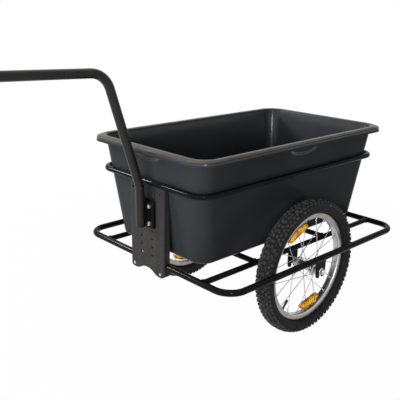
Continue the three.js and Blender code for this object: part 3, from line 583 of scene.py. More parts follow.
def swept(path, radius, loop=False, count=tube_sides):
    """A round bar along points, its section square to the path. The radius may be a list, or a function of
    the share of the path passed."""
    rings = []
    last = len(path) - 1
    up = None
    for i, point in enumerate(path):
        before = path[i - 1] if i or loop else point
        after = path[(i + 1) % len(path)] if i < last or loop else point
        heading = (after - before).normalized()
        if up is None:
            up = Vector((0, 0, 1)) if abs(heading.z) < 0.9 else Vector((0, 1, 0))
        out = heading.cross(up).normalized()
        up = out.cross(heading).normalized()
        size = radius(i / last) if callable(radius) else radius[i] if isinstance(radius, list) else radius
        rings.append([point + offset for offset in circle(size, count, up, out)])
    return tidied(skin(rings, loop=loop))


def bent_path(corners, radii):
    """Points along straight runs that round bends join."""
    points = []
    count = len(corners)
    for i, corner in enumerate(corners):
        radius = radii[i]
        if not radius:
            points.append(corner)
            continue
        incoming = (corner - corners[i - 1]).normalized()
        outgoing = (corners[(i + 1) % count] - corner).normalized()
        turn = incoming.angle(outgoing)
        inward = (outgoing - incoming * math.cos(turn)).normalized()
        start = corner - incoming * radius * math.tan(turn / 2)
        for step in range(bend_steps + 1):
            angle = turn * step / bend_steps
            ahead = incoming * radius * math.sin(angle)
            points.append(start + ahead + inward * radius * (1 - math.cos(angle)))
    return points


def plate(loops, thickness, bevel=edge_round):
    """A flat sheet around the XY plane from its outline and holes, with its edges broken."""
    form = bmesh.new()
    insides = []
    starts = []
    for index, points in enumerate(loops):
        area = sum(a[0] * b[1] - a[1] * b[0] for a, b in zip(points, points[1:] + points[:1]))
        wanted = 1 if index == 0 else -1
        points = points if area * wanted > 0 else points[::-1]
        inset = []
        for i, point in enumerate(points):
            here = Vector(point)
            incoming = (here - Vector(points[i - 1])).normalized()
            outgoing = (Vector(points[(i + 1) % len(points)]) - here).normalized()
            inward = Vector((-(incoming.y + outgoing.y), incoming.x + outgoing.x)).normalized()
            inset.append(here + inward * bevel)
        half = thickness / 2
        levels = [(inset, -half), (points, -half + bevel), (points, half - bevel), (inset, half)]
        rows = [[form.verts.new((x, y, z)) for x, y in level] for level, z in levels]
        bridge(form, rows)
        insides.append([Vector((x, y, 0)) for x, y in inset])
        starts.extend(zip(rows[0], rows[-1]))
    for triangle in tessellate_polygon(insides):
        form.faces.new([starts[i][0] for i in triangle])
        form.faces.new([starts[i][1] for i in triangle])
    bmesh.ops.recalc_face_normals(form, faces=form.faces)
    return form


def block(low, high):
    form = bmesh.new()
    bmesh.ops.create_cube(form, size=1)
    size = Vector(high) - Vector(low)
    centre = (Vector(high) + Vector(low)) / 2
    moved(form, Matrix.Translation(centre) @ Matrix.Diagonal((*size, 1)))
    return form


def hexagon(width, height, chamfer=bolt_chamfer):
    """A hexagonal prism along Z from 0, with its corners turned off at the top."""
    radius = width / math.sqrt(3)
    outline = [(0, 0), (radius, 0), (radius, height - chamfer), (radius - 2 * chamfer, height), (0, height)]
    rings = []
    for i in range(6):
        angle = math.pi * i / 3
        rings.append([Vector((r * math.cos(angle), r * math.sin(angle), along)) for r, along in outline])
    return tidied(skin(rings, loop=True))


def scratch_object(form):
    mesh = bpy.data.meshes.new("scratch")
    tidied(form).to_mesh(mesh)
    form.free()
    made = bpy.data.objects.new("scratch", mesh)
    bpy.context.scene.collection.objects.link(made)
    return made


def combined(form, tool, operation, bevel=0):
    """What is left when a tool cuts, joins or crosses a form, with its sharp edges broken by a bevel."""
    made = scratch_object(form)
    used = [made]
    if tool:
        cutter = scratch_object(tool)
        used.append(cutter)
        step = made.modifiers.new("shape", "BOOLEAN")
        step.operation = operation
        step.solver = "EXACT"
        step.object = cutter
    if bevel:
        step = made.modifiers.new("edges", "BEVEL")
        step.width = bevel
        step.segments = 2
        step.limit_method = "ANGLE"
        step.angle_limit = math.radians(40)
    result = bmesh.new()
    result.from_mesh(made.evaluated_get(bpy.context.evaluated_depsgraph_get()).to_mesh())
    for scratch in used:
        mesh = scratch.data
        bpy.data.objects.remove(scratch)
        bpy.data.meshes.remove(mesh)
    return result


def show(name, form, host, replaces=(), slot=None, smooth=38, material=None):
    """Puts a finished form into the scene. It rides and is painted as the host node is."""
    mesh = bpy.data.meshes.new(name)
    tidied(form).to_mesh(mesh)
    form.free()
    mesh.shade_smooth()
    mesh.set_sharp_from_angle(angle=math.radians(smooth))
    slot = slot or slot_of[host]
    mesh.materials.append(materials[material or slot])
    made = bpy.data.objects.new(name, mesh)
    bpy.context.scene.collection.objects.link(made)
    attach(made, body_of[host])
    if replaces:
        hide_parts(*replaces)
    return made


def refine(name, form, node, smooth=38):
    """A finer form in the place of one node."""
    return show(name, form, node, [node], smooth=smooth)


# Outlines, curves and beads

def middle(node):
    low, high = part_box(node)
    return (low + high) / 2


def spread(start, end, steps):
    return [start + (end - start) * i / steps for i in range(steps + 1)]


def curve_to(start, control, end, steps=12):
    """The points of a quadratic curve, without its first one."""
    points = []
    for t in spread(0, 1, steps)[1:]:
        points.append(tuple((1 - t) ** 2 * a + 2 * t * (1 - t) * b + t * t * c
                            for a, b, c in zip(start, control, end)))
    return points


def cubic_to(start, first, second, end, steps=20):
    corners = (start, first, second, end)
    points = []
    for t in spread(0, 1, steps)[1:]:
        weights = ((1 - t) ** 3, 3 * t * (1 - t) ** 2, 3 * t * t * (1 - t), t ** 3)
        points.append(tuple(sum(w * p[i] for w, p in zip(weights, corners)) for i in range(2)))
    return points


def turn_xy_to_yz():
    """Stands a sheet that was drawn in XY so that its X runs along +Y and its Y along +Z."""
    return Matrix(((0, 0, 1, 0), (1, 0, 0, 0), (0, 1, 0, 0), (0, 0, 0, 1)))


def turn_xy_to_xz():
    """Stands a sheet that was drawn in XY so that its Y runs along +Z."""
    return Matrix(((1, 0, 0, 0), (0, 0, -1, 0), (0, 1, 0, 0), (0, 0, 0, 1)))


def round_hole(x, z, diameter=hole_diameter):
    return [(x + diameter / 2 * math.cos(t), z + diameter / 2 * math.sin(t))
            for t in spread(0, math.tau, hole_segments)[:-1]]


def rippled(size, seed):
    """A bead's radius along its run, thin at both ends."""
    source = random.Random(seed)
    phases = [source.uniform(0, math.tau) for unused in range(2)]

    def radius(share):
        ends = min(1, 12 * share * (1 - share) + 0.15)
        wave = math.sin(60 * share + phases[0]) * math.cos(23 * share + phases[1])
        return size * ends * (0.93 + 0.07 * wave)
    return radius


def dome(radius, height, axis, place, segments=24):
    """A round screw head with a low crown."""
    outline = [(0, 0), (radius, 0), (radius, height * 0.25)]
    outline += [(radius * math.cos(t), height * (0.25 + 0.75 * math.sin(t)))
                for t in spread(0, math.pi / 2, 8)[1:-1]]
    outline += [(0, height)]
    return turned(outline, axis, place, segments)


def bead_run(start, end, size, seed):
    path = [start.lerp(end, t) for t in spread(0, 1, bead_steps)]
    return swept(path, rippled(size, seed), count=bead_sides)


def barrel(radius, start, end, inner=0.0, edge=broken_edge):
    """The outline of a turned barrel with broken edges, solid or bored."""
    return [(inner, start), (radius - edge, start), (radius, start + edge), (radius, end - edge),
            (radius - edge, end), (inner, end)]


# Chassis

def level_hoop(half_width, front, rear, height, corner, tube):
    corners = [
        at(half_width, -front, height),
        at(half_width, rear, height),
        at(-half_width, rear, height),
        at(-half_width, -front, height),
    ]
    return swept(bent_path(corners, [corner] * 4), tube / 2, loop=True)


def straight_tube(start, end, diameter):
    return swept([start, end], diameter / 2)


def weld_bead(centre, along, beside, tube, host, seed):
    """The bead round a tube that ends on another: along points out of the joint, beside square to it."""
    along = Vector(along)
    beside = Vector(beside)
    over = along.cross(beside)
    ripple = random.Random(seed)
    path = []
    for i in range(weld_steps):
        angle = 2 * math.pi * i / weld_steps
        across = tube / 2 * math.cos(angle)
        reach = math.sqrt(max((host / 2) ** 2 - across ** 2, 0))
        path.append(centre + along * reach + over * across + beside * (tube / 2 * math.sin(angle)))
    wobble = [tube_weld * ripple.uniform(0.8, 1.1) for unused in range(weld_steps)]
    return swept(path, wobble, loop=True, count=bead_sides)


def add_chassis():
    loop = level_hoop(loop_half_width, loop_front, loop_rear, loop_height, loop_corner, loop_tube)
    refine("chassis_loop", loop, "base_loop")
    for side, sign in sides.items():
        x = sign * rail_offset
        node = f"inner_rail_{side}"
        rail = straight_tube(at(x, -loop_front, loop_height), at(x, loop_rear, loop_height), rail_tube)
        refine(f"rail_{side}", rail, node)
        beads = [
            weld_bead(at(x, -loop_front, loop_height), (0, 1, 0), (0, 0, 1), rail_tube, loop_tube, seed=1),
            weld_bead(at(x, loop_rear, loop_height), (0, -1, 0), (0, 0, 1), rail_tube, loop_tube, seed=2),
        ]
        for bar in ("front", "rear"):
            y = middle(f"cross_bar_{bar}").y
            place = Vector((x, y, loop_height))
            beads.append(weld_bead(place, (-sign, 0, 0), (0, 0, 1), cross_tube, rail_tube, seed=3))
        show(f"rail_welds_{side}", joined(beads), node)
    for bar in ("front", "rear"):
        node = f"cross_bar_{bar}"
        y = middle(node).y
        start = Vector((-rail_offset, y, loop_height))
        end = Vector((rail_offset, y, loop_height))
        refine(f"bar_{bar}", straight_tube(start, end, cross_tube), node)


def add_ring():
    low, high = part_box("tub_ring")
    flat = ring_tube / 2 * math.cos(math.pi / frame_tube_sides)
    front = axle_y - (low.y + flat)
    rear = high.y - flat - axle_y
    ring = level_hoop(high.x - flat, front, rear, ring_height, ring_corner, ring_tube)
    refine("tub_hoop", ring, "tub_ring")


def add_axle_brackets():
    for side in sides:
        for end in ("inner", "outer"):
            node = f"axle_bracket_{side}_{end}"
            low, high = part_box(node)
            half = (high.y - low.y) / 2 - dropout_waist
            foot = low.z + dropout_lift
            slot = dropout_slot
            taper = half - slot
            outline = [(-half, high.z), (-half, axle_height)]
            outline += curve_to((-half, axle_height), (-half, foot), (-half + taper / 2, foot))
            outline += [(-slot, foot)]
            outline += [(-slot * math.cos(t), axle_height + slot * math.sin(t))
                        for t in spread(0, math.pi, small_segments)]
            outline += [(slot, foot), (half - taper / 2, foot)]
            outline += curve_to((half - taper / 2, foot), (half, foot), (half, axle_height))
            outline += [(half, high.z)]
            form = plate([outline], high.x - low.x, dropout_edge)
            upright = Matrix.Translation(((high.x + low.x) / 2, axle_y, 0)) @ turn_xy_to_yz()
            refine(f"dropout_{side}_{end}", moved(form, upright), node)
            y_edge = half * dropout_weld_share
            beads = []
            weld_z = high.z + dropout_weld_rise
            for face in (low.x, high.x):
                run = (Vector((face, axle_y + y, weld_z)) for y in (-y_edge, y_edge))
                beads.append(bead_run(*run, dropout_weld, 5))
            show(f"dropout_welds_{side}_{end}", joined(beads), node)


# Front plate

def plate_outline(bleed):
    """The plate's outline in XZ. The bleed widens it at the sides, so that it clears the folded flanges."""
    side = plate_high.x + bleed
    foot = plate_low.z
    top = plate_high.z
    points = [(-side, top), (-side, foot + foot_round)]
    points += curve_to(points[-1], (-side, foot), (-foot_offset, foot))
    half = foot_offset / 2
    arch = foot + arch_height
    points += cubic_to(points[-1], (-half, foot), (-half, arch), (0, arch))
    points += cubic_to(points[-1], (half, arch), (half, foot), (foot_offset, foot))
    points += curve_to(points[-1], (side, foot), (side, foot + foot_round))
    points += [(side, top), (notch_half_width + horn_flare, top)]
    points += curve_to(points[-1], (notch_half_width, top), (notch_half_width, top - horn_height))
    points += [(notch_half_width, top - notch_depth), (-notch_half_width, top - notch_depth)]
    points += [(-notch_half_width, top - horn_height)]
    points += curve_to(points[-1], (-notch_half_width, top), (-notch_half_width - horn_flare, top))
    return points


def foot_places():
    return [(x, plate_low.z + foot_hole_rise) for x in (-horn_hole_offset, horn_hole_offset)]


def hole_places():
    rows = [loop_height + first_hole_rise + row * hole_pitch for row in range(hole_rows)]
    grid = [(x, z) for z in rows for x in (-hole_column, hole_column)]
    horns = [(x, plate_high.z - horn_hole_drop) for x in (-horn_hole_offset, horn_hole_offset)]
    return grid + horns + foot_places()


def folded_channel(low, high, sheet, fold):
    """A channel open to the rear, with round folds, from its lowest to its highest corner."""
    side = high.x
    front = low.y
    outer = [(-side, high.y), (-side, front + fold)]
    outer += curve_to(outer[-1], (-side, front), (-side + fold, front), 6)
    outer += [(side - fold, front)]
    outer += curve_to(outer[-1], (side, front), (side, front + fold), 6)
    outer += [(side, high.y), (side - sheet, high.y), (side - sheet, front + fold)]
    outer += curve_to(outer[-1], (side - sheet, front + sheet), (side - fold, front + sheet), 6)
    outer += [(-side + fold, front + sheet)]
    outer += curve_to(outer[-1], (-side + sheet, front + sheet), (-side + sheet, front + fold), 6)
    outer += [(-side + sheet, high.y)]
    return skin([[Vector((x, y, z)) for x, y in outer] for z in (low.z, high.z)])


def upright_prism(loops, back, front):
    """A sheet drawn in XZ, extruded from its front to its back."""
    form = plate(loops, back - front, 0)
    return moved(form, Matrix.Translation((0, (front + back) / 2, 0)) @ turn_xy_to_xz())


def cylinder_cutters(places, front, back, diameter=hole_diameter):
    outline = cylinder(diameter / 2, 0, back - front)
    return joined([turned(outline, (0, 1, 0), Vector((x, front, z)), hole_segments) for x, z in places])


def tub_relief():
    """Room for the tub's front wall, which leans towards the folded sides."""
    across = plate_high.x + plate_fold
    low, high = loop_height, tub_high.z
    rings = []
    for z in (low, high):
        wall = tub_middle - (rim_half_length - flange) - tub_draft * (z - tub_high.z) - tub_play
        rings.append([Vector((-across, wall, z)), Vector((across, wall, z)),
                      Vector((across, tub_middle, z)), Vector((-across, tub_middle, z))])
    return skin(rings)


def add_front_plate():
    reach = cutter_reach
    channel = folded_channel(plate_low, plate_high, plate_thickness, plate_fold)
    outline = upright_prism([plate_outline(plate_bleed)], plate_high.y + reach, plate_low.y - reach)
    form = combined(channel, outline, "INTERSECT")
    face_back = plate_low.y + plate_thickness
    holes = cylinder_cutters(hole_places(), plate_low.y - reach, face_back + reach / 2)
    form = combined(form, holes, "DIFFERENCE")
    across = plate_high.x * 2
    saddle = [at(x, -loop_front, loop_height) for x in (-across, across)]
    form = combined(form, swept(saddle, loop_tube / 2 + seat), "DIFFERENCE")
    refine("folded_front_plate", combined(form, tub_relief(), "DIFFERENCE", sheet_edge), "front_plate")
    add_plate_rivets()


def add_plate_rivets():
    places = [Vector((x, plate_low.y, z)) for x, z in foot_places()]
    heads = [dome(rivet_head_radius, rivet_head_height, (0, -1, 0), place) for place in places]
    shank = cylinder(rivet_shank_radius, -rivet_depth, rivet_overlap)
    shanks = [turned(shank, (0, -1, 0), place) for place in places]
    show("plate_rivets", joined(heads + shanks), "front_plate", slot="plated_steel")


# Rear uprights and reflectors

def add_rear():
    for side in sides:
        node = f"rear_upright_{side}"
        low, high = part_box(node)
        centre = (low.x + high.x) / 2
        half = (high.x - low.x) / 2
        outline = [(centre - half, high.z)]
        outline += [(centre - half * math.cos(t), low.z + half - half * math.sin(t))
                    for t in spread(0, math.pi, 24)]
        outline += [(centre + half, high.z)]
        form = plate([outline, round_hole(centre, low.z + half)], high.y - low.y, sheet_edge)
        upright = Matrix.Translation((0, (low.y + high.y) / 2, 0)) @ turn_xy_to_xz()
        refine(f"rear_strap_{side}", moved(form, upright), node)
        add_rear_reflector(side)


def add_rear_reflector(side):
    node = f"rear_reflector_{side}"
    low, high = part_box(node)
    radius = (high.z - low.z) / 2
    depth = high.y - low.y
    centre = Vector(((low.x + high.x) / 2, low.y, (low.z + high.z) / 2))
    border = rear_reflector_border
    outline = [(0, 0), (radius, 0), (radius, depth * 0.6)]
    outline += [(radius - border / 2 * (1 - math.cos(t)), depth * (0.6 + 0.4 * math.sin(t)))
                for t in spread(0, math.pi / 2, 6)[1:]]
    outline += [(radius - border, depth), (radius - border * 1.25, depth * 0.8)]
    outline += [(radius * share, depth * (0.95 - 0.15 * share ** 2)) for share in (0.7, 0.45, 0.2)]
    outline += [(0, depth * 0.95)]
    refine(f"round_reflector_{side}", turned(outline, (0, 1, 0), centre, fine_segments), node, smooth=30)


# Welds under the hoop

def add_hoop_welds():
    top = ring_height - ring_tube / 2
    beads = []
    for sign in (-1, 1):
        for y in (plate_low.y, plate_low.y + plate_thickness):
            start = Vector((sign * (notch_half_width + horn_flare), y, top))
            end = Vector((sign * (plate_high.x - plate_thickness), y, top))
            beads.append(bead_run(start, end, sheet_weld, 7))
    show("horn_welds", joined(beads), "front_plate")
    for side in sides:
        low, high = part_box(f"rear_upright_{side}")
        ends = (low.x + weld_margin, high.x - weld_margin)
        beads = [bead_run(*(Vector((x, y, top)) for x in ends), sheet_weld, 8) for y in (low.y, high.y)]
        show(f"strap_welds_{side}", joined(beads), f"rear_upright_{side}")


# Drawbar, its bracket and bolts

def add_drawbar():
    foot = bracket_low.y - seat - drawbar_tube / 2
    start = Vector((0, foot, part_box("drawbar")[0].z))
    kink = Vector((0, foot, loop_height + kink_rise))
    bend = Vector((0, foot - upper_bend_reach, loop_height + drawbar_top))
    end = Vector(joints["hitch_roll"]["pos_m"])
    path = bent_path([start, kink, bend, end], [0, kink_radius, upper_bend_radius, 0])
    path.insert(1, start.lerp(kink, tube_end_round / (kink - start).length))
    path.insert(len(path) - 1, end.lerp(bend, tube_end_round / (bend - end).length))
    radius = drawbar_tube / 2
    sizes = [radius - tube_end_round] + [radius] * (len(path) - 2) + [radius - tube_end_round]
    show("drawbar_tube_bent", swept(path, sizes), "drawbar", ["drawbar"], material="drawbar_paint")
    middle_step = 2 + bend_steps // 2
    heading = (path[middle_step + 1] - path[middle_step - 1]).normalized()
    across = Vector((1, 0, 0))
    offsets = circle(radius, weld_steps, heading.cross(across), across)
    ring = [path[middle_step] + offset for offset in offsets]
    bead = swept(ring, kink_bead, loop=True, count=bead_sides)
    show("kink_weld", bead, "drawbar", material="drawbar_paint")
    beads = []
    for sign in (-1, 1):
        low = Vector((sign * bracket_weld_offset, bracket_low.y - bracket_weld_gap, start.z + weld_margin))
        beads.append(bead_run(low, Vector((low.x, low.y, bracket_high.z - weld_margin)), sheet_weld, 9))
    show("bracket_welds", joined(beads), "drawbar_bracket")


def add_bracket():
    channel = folded_channel(bracket_low, bracket_high, bracket_sheet, bracket_sheet * 1.5)
    places = [(middle(f"drawbar_bolt_{i}").x, middle(f"drawbar_bolt_{i}").z) for i in (1, 2, 3, 4)]
    holes = cylinder_cutters(places, bracket_low.y - plate_fold, bracket_high.y)
    refine("folded_bracket", combined(channel, holes, "DIFFERENCE", edge_round), "drawbar_bracket")


def threaded(radius, start, end):
    """The outline of a thread's ridges from one place to another."""
    count = max(1, round((end - start) / thread_pitch))
    step = (end - start) / count
    points = []
    for i in range(count):
        points += [(radius - thread_depth, start + step * i), (radius, start + step * (i + 0.5))]
    return points


def hex_bolt(start, end, tail):
    """A hexagon bolt: its head at the start, and a nut with a tail of thread beyond it at the end."""
    axis = (end - start).normalized()
    length = (end - start).length
    head = bolt_head_height - bolt_washer
    nut = length - tail - head
    disc = cylinder(bolt_washer_radius, 0, bolt_washer)
    shank = [(0, head), (bolt_radius, head), (bolt_radius, nut)] + threaded(bolt_radius, nut + head, length)
    shank += [(bolt_radius - thread_depth * 2, length), (0, length)]
    return joined([
        moved(hexagon(bolt_head_width, head), frame_along(-axis, start + axis * head)),
        turned(disc, axis, start + axis * head),
        turned(shank, axis, start),
        turned(disc, axis, start + axis * (nut - bolt_washer)),
        moved(hexagon(bolt_head_width, head), frame_along(axis, start + axis * nut)),
    ])


def add_bracket_bolts():
    for i in (1, 2, 3, 4):
        node = f"drawbar_bolt_{i}"
        low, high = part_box(node)
        x, z = middle(node).x, middle(node).z
        refine(f"bracket_bolt_{i}", hex_bolt(Vector((x, low.y, z)), Vector((x, high.y, z)), bolt_tail), node)


# Wheels, built about the X axis with their outer side at +X

rim_section = ((150.7, 0), (150.9, 4), (152.2, 8.4), (153.7, 10.7), (158.9, 10.7), (159.8, 11), (160, 11.5),
               (159.8, 12.2), (159.2, 12.5), (150.2, 12.4), (147.6, 11.5), (145.4, 9.2), (144.6, 7),
               (144.5, 0))
hub_section = ((11.5, 0), (11.5, 12), (12.1, 18.5), (13.4, 23.6), (15.6, 25.2), (19.6, 25.5), (20, 25.9),
               (20, 28.1), (19.6, 28.5), (15.6, 28.7), (13.6, 29.6), (12.8, 31), (12.5, 33.6), (12, 34.4),
               (10.2, 35), (8.4, 35), (8.2, 34.2), (5.4, 34.2))
valve_section = ((0, 0.3), (4, 0.3), (4, 1.6), (3.4, 5), (2.9, 8), (2.8, 15.6), (3.3, 15.8), (3.6, 16.8),
                 (3.6, 27.4), (3.2, 29.4), (2.2, 30.4), (0, 30.6))
nipple_section = ((0, 0), (1.25, 0), (1.75, 1.1), (1.9, 2), (1.9, 9.5), (1.6, 13), (0, 13))
eyelet_section = ((1.9, -0.4), (3.7, -0.4), (3.5, 0.4), (3, 0.7), (2.2, 0.7))
reflector_border = ((4, 4.7), (3.2, 6.2), (2, 6.7), (0.8, 5.9), (0, 4.2))
reflector_centre = ((11, 7.5), (8, 7), (5.4, 5.9), (4.2, 4.5))
cone_section = ((0.8, 0), (0, 0.9), (0, 6.6), (0.9, 7.1), (0, 7.6))


def in_mm(table):
    return [(first * mm, second * mm) for first, second in table]


def mirrored(side):
    """A closed outline from its half beyond the middle plane."""
    return side + [(radius, -along) for radius, along in reversed(side) if along]


def wheel_frame(side):
    spin = 0 if side == "left" else math.pi
    return Matrix.Translation(joints[f"{side}_wheel_spin"]["pos_m"]) @ Matrix.Rotation(spin, 4, "Z")


def around(radius, angle, x=0.0):
    return Vector((x, radius * math.cos(angle), radius * math.sin(angle)))


def about_axle(outline, segments=wheel_segments):
    return turned(outline, (1, 0, 0), Vector(), segments)


def squared(value, squareness=tyre_squareness):
    """A sine or cosine for an outline with fuller shoulders than an ellipse."""
    return math.copysign(abs(value) ** squareness, value)


def tyre_section(across, height):
    """The radius and the place along the axle at a turn round the tyre's section."""
    radius = carcass_centre + (carcass_rise + height) * squared(math.cos(across))
    return radius, (carcass_half + height) * squared(math.sin(across))


def tread_place(turn, across, height):
    """A place by its turn round the wheel and round the tyre's section, and its height over the carcass."""
    radius, along = tyre_section(across, height)
    return around(radius, turn, along)


def knob(form, turn, across, length, width, height):
    """A tread block with sloped walls, chamfered corners and a broken top edge."""
    rings = []
    for inset, rise in ((-knob_root, -knob_root), (knob_slope, height - knob_edge), (knob_edge, height)):
        a = length / 2 - inset
        b = width / 2 - inset
        quarter = [(a, b - knob_corner), (a - knob_corner, b)]
        flat = quarter + [(-u, v) for u, v in reversed(quarter)]
        flat += [(-u, -v) for u, v in quarter] + [(u, -v) for u, v in reversed(quarter)]
        rings.append([tread_place(turn + u / tyre_radius, across + v / carcass_half, rise) for u, v in flat])
    skin(rings, form=form)


def tyre_form():
    section = []
    for t in spread(-carcass_turn, carcass_turn, carcass_steps):
        ribbed = any(low < abs(t) < high for low, high in rib_bands)
        section.append(tyre_section(t, rib_height if ribbed else 0))
    bead = rim_radius - hook_height + seat
    foot = rim_half - rim_wall - seat
    section += [(rim_radius + seat, foot), (bead, foot), (bead, -foot), (rim_radius + seat, -foot)]
    form = about_axle(section)
    pitch = math.tau / knob_count
    for i in range(knob_count):
        turn = i * pitch
        odd = i % 2
        shoulder_knob = (shoulder_knob_lengths[odd], shoulder_knob_width)
        if odd:
            knob(form, turn, 0, *middle_knob, knob_height)
        for sign in (-1, 1):
            if not odd:
                knob(form, turn, sign * crown_turn, *crown_knob, knob_height)
            knob(form, turn + pitch / 2, sign * side_turn, *side_knob, knob_height)
            knob(form, turn, sign * shoulder_turn, *shoulder_knob, shoulder_knob_height)
    return form


def spoke_ends(flange, index):
    """Where a spoke starts at its flange and ends at the rim, and whether it runs outside the flange."""
    turn = 2 * math.tau / spoke_count
    start = first_spoke_angle + (index if flange > 0 else index + 0.5) * turn
    outside = -1 if index % 2 else 1
    return start, start + crossings * turn * outside, outside


def spoke_form(flange, index):
    start, end, outside = spoke_ends(flange, index)
    half = hub_flange_thickness / 2
    away = flange * outside
    plane = flange * hub_flange_offset
    head = around(hub_hole_radius, start, plane - away * half)
    elbow = around(hub_hole_radius, start, plane + away * (half + spoke_radius))
    rim_end = around(rim_bed, end)
    heading = (rim_end - elbow).normalized()
    return joined([
        swept(bent_path([head, elbow, rim_end], [0, spoke_radius * 2, 0]), spoke_radius, count=spoke_sides),
        dome(spoke_head_radius, spoke_head_height, (-away, 0, 0), head, small_segments),
        turned(in_mm(nipple_section), heading, rim_end - heading * nipple_length, small_segments),
    ])


def hub_form():
    drills = []
    for flange in (-1, 1):
        for index in range(spoke_count // 2):
            place = around(hub_hole_radius, spoke_ends(flange, index)[0],
                           flange * hub_flange_offset - hub_flange_thickness)
            outline = cylinder(spoke_radius + seat, 0, 2 * hub_flange_thickness)
            drills.append(turned(outline, (1, 0, 0), place, small_segments))
    shell = about_axle(mirrored(in_mm(hub_section)), fine_segments)
    return combined(shell, joined(drills), "DIFFERENCE")


def reflector_ring(angle, inset, x):
    middle_radius = rim_bed - reflector_rim_gap - reflector_height / 2
    points = []
    for t in spread(0, math.tau, fine_segments)[:-1]:
        u = (reflector_length / 2 - inset) * squared(math.cos(t), reflector_squareness)
        v = (reflector_height / 2 - inset) * squared(math.sin(t), reflector_squareness)
        points.append(around(middle_radius + v, angle + u / middle_radius, x))
    return points


def reflector_form(angle, section, loop=False):
    """The border or the centre of a spoke reflector, from its section as (inset, half thickness)."""
    half = in_mm(section)
    levels = [(inset, -x) for inset, x in half] + [(inset, x) for inset, x in reversed(half)]
    return skin([reflector_ring(angle, inset, x) for inset, x in levels], loop=loop)


def axle_form(end):
    lock = end - (nut_height + washer_thickness + lock_length)
    cone = hub_length / 2 + seat
    side = [(axle_radius, cone)]
    side += [(cone_radius - inward, cone + along) for inward, along in in_mm(cone_section)]
    side += [(cone_radius, lock - broken_edge), (cone_radius - broken_edge, lock)]
    side += threaded(axle_radius, lock, end - thread_pitch)
    side += [(axle_radius - 2 * thread_depth, end), (0, end)]
    return about_axle([(radius, -along) for radius, along in reversed(side)] + side, turned_segments)


def nut_form(start, sign):
    place = Vector((sign * start, 0, 0))
    axis = (sign, 0, 0)
    disc = barrel(washer_radius, 0, washer_thickness, edge=washer_chamfer)
    nut_place = Vector((sign * (start + washer_thickness), 0, 0))
    nut = moved(hexagon(nut_width, nut_height, nut_chamfer), frame_along(axis, nut_place))
    return joined([turned(disc, axis, place), nut])


def add_wheel(side):
    place = wheel_frame(side)
    wheel_x = joints[f"{side}_wheel_spin"]["pos_m"][0]
    axle_low, axle_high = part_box(f"axle_{side}")
    axle_end = (axle_high.x - axle_low.x) / 2
    refine(f"tyre_tread_{side}", moved(tyre_form(), place), f"tyre_{side}")
    refine(f"rim_hoop_{side}", moved(about_axle(mirrored(in_mm(rim_section))), place), f"rim_{side}", 30)
    refine(f"hub_shell_{side}", moved(hub_form(), place), f"hub_{side}", 30)
    refine(f"axle_rod_{side}", moved(axle_form(axle_end), place), f"axle_{side}")
    for end, sign in (("outer", 1), ("inner", -1)):
        node = f"axle_nut_{side}_{end}"
        low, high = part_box(node)
        start = min(abs(low.x - wheel_x), abs(high.x - wheel_x))
        refine(f"wheel_nut_{side}_{end}", moved(nut_form(start, sign), place), node)
        forms = [spoke_form(sign, index) for index in range(spoke_count // 2)]
        refine(f"laced_spokes_{side}_{end}", moved(joined(forms), place), f"spokes_{side}_{end}")
    eyelets = []
    for i in range(spoke_count):
        angle = first_spoke_angle + i * math.tau / spoke_count
        eyelets.append(turned(in_mm(eyelet_section), -around(1, angle), around(rim_bed, angle), 16))
    show(f"eyelets_{side}", moved(joined(eyelets), place), f"rim_{side}", slot="plated_steel")
    stem = turned(in_mm(valve_section), -around(1, valve_angle), around(rim_bed, valve_angle), 24)
    refine(f"valve_stem_{side}", moved(stem, place), f"valve_{side}")
    for i, angle in enumerate(reflector_angles):
        node = f"spoke_reflector_{side}_{i + 1}"
        border = reflector_form(angle, reflector_border, loop=True)
        centre = reflector_form(angle, reflector_centre)
        refine(f"reflector_border_{side}_{i + 1}", moved(border, place), node, 50)
        # The lens centre takes the brighter amber as painted retro-reflection.
        show(f"reflector_lens_{side}_{i + 1}", moved(centre, place), node, smooth=50, material="amber_centre")


# Tub

def smooth_step(value, start, end):
    share = min(max((value - start) / (end - start), 0), 1)
    return share * share * (3 - 2 * share)


def scoop(s, drop, turn):
    """How deep a hand hold's dent is here, from 0 to 1. Those of the long sides sit behind the middle."""
    short = turn % 2
    s -= (0 if short else scoop_shift) * (1 if turn == 0 else -1)
    half, low = scoop_half_widths[short], scoop_drops[short]
    below = max(drop - lip_height, 0) / (low - lip_height)
    inside = 1 - math.hypot(s / half, below)
    return smooth_step(inside, 0, scoop_soft_share) * smooth_step(drop, scoop_top, lip_height)


def level_ring(half_width, half_length, corner, z, dent=0.0):
    """A rounded rectangle, with more points at the middle of each side, where the dents are."""
    drop = tub_high.z - z
    dense = scoop_dense_half
    points = []
    for turn in range(4):
        short = turn % 2
        reach, run = (half_length, half_width) if short else (half_width, half_length)
        straight = run - corner
        stops = spread(-straight, -dense, 3)[:-1] + spread(-dense, dense, 44) + spread(dense, straight, 3)[1:]
        flat = [(s, reach - dent * scoop(s, drop, turn)) for s in stops]
        arc = [(straight + corner * math.sin(t), reach - corner + corner * math.cos(t))
               for t in spread(0, math.pi / 2, 12)[1:-1]]
        for s, out in flat + arc:
            place = complex(out, s) * 1j ** turn
            points.append(Vector((place.real, tub_middle + place.imag, z)))
    return points


def wall_ring(z, inset, dent=0.0):
    grow = tub_draft * (z - tub_high.z) - inset
    width = rim_half_width - flange + grow
    return level_ring(width, rim_half_length - flange + grow, tub_corner - inset, z, dent)


def rim_ring(z, inset):
    return level_ring(rim_half_width - inset, rim_half_length - inset, rim_corner - inset, z)


def bottom_rings(inset):
    radius = tub_bottom_round - inset
    return [wall_ring(tub_low.z + inset + radius * (1 - math.sin(t)), inset + radius * (1 - math.cos(t)))
            for t in spread(0, math.pi / 2, 8)]


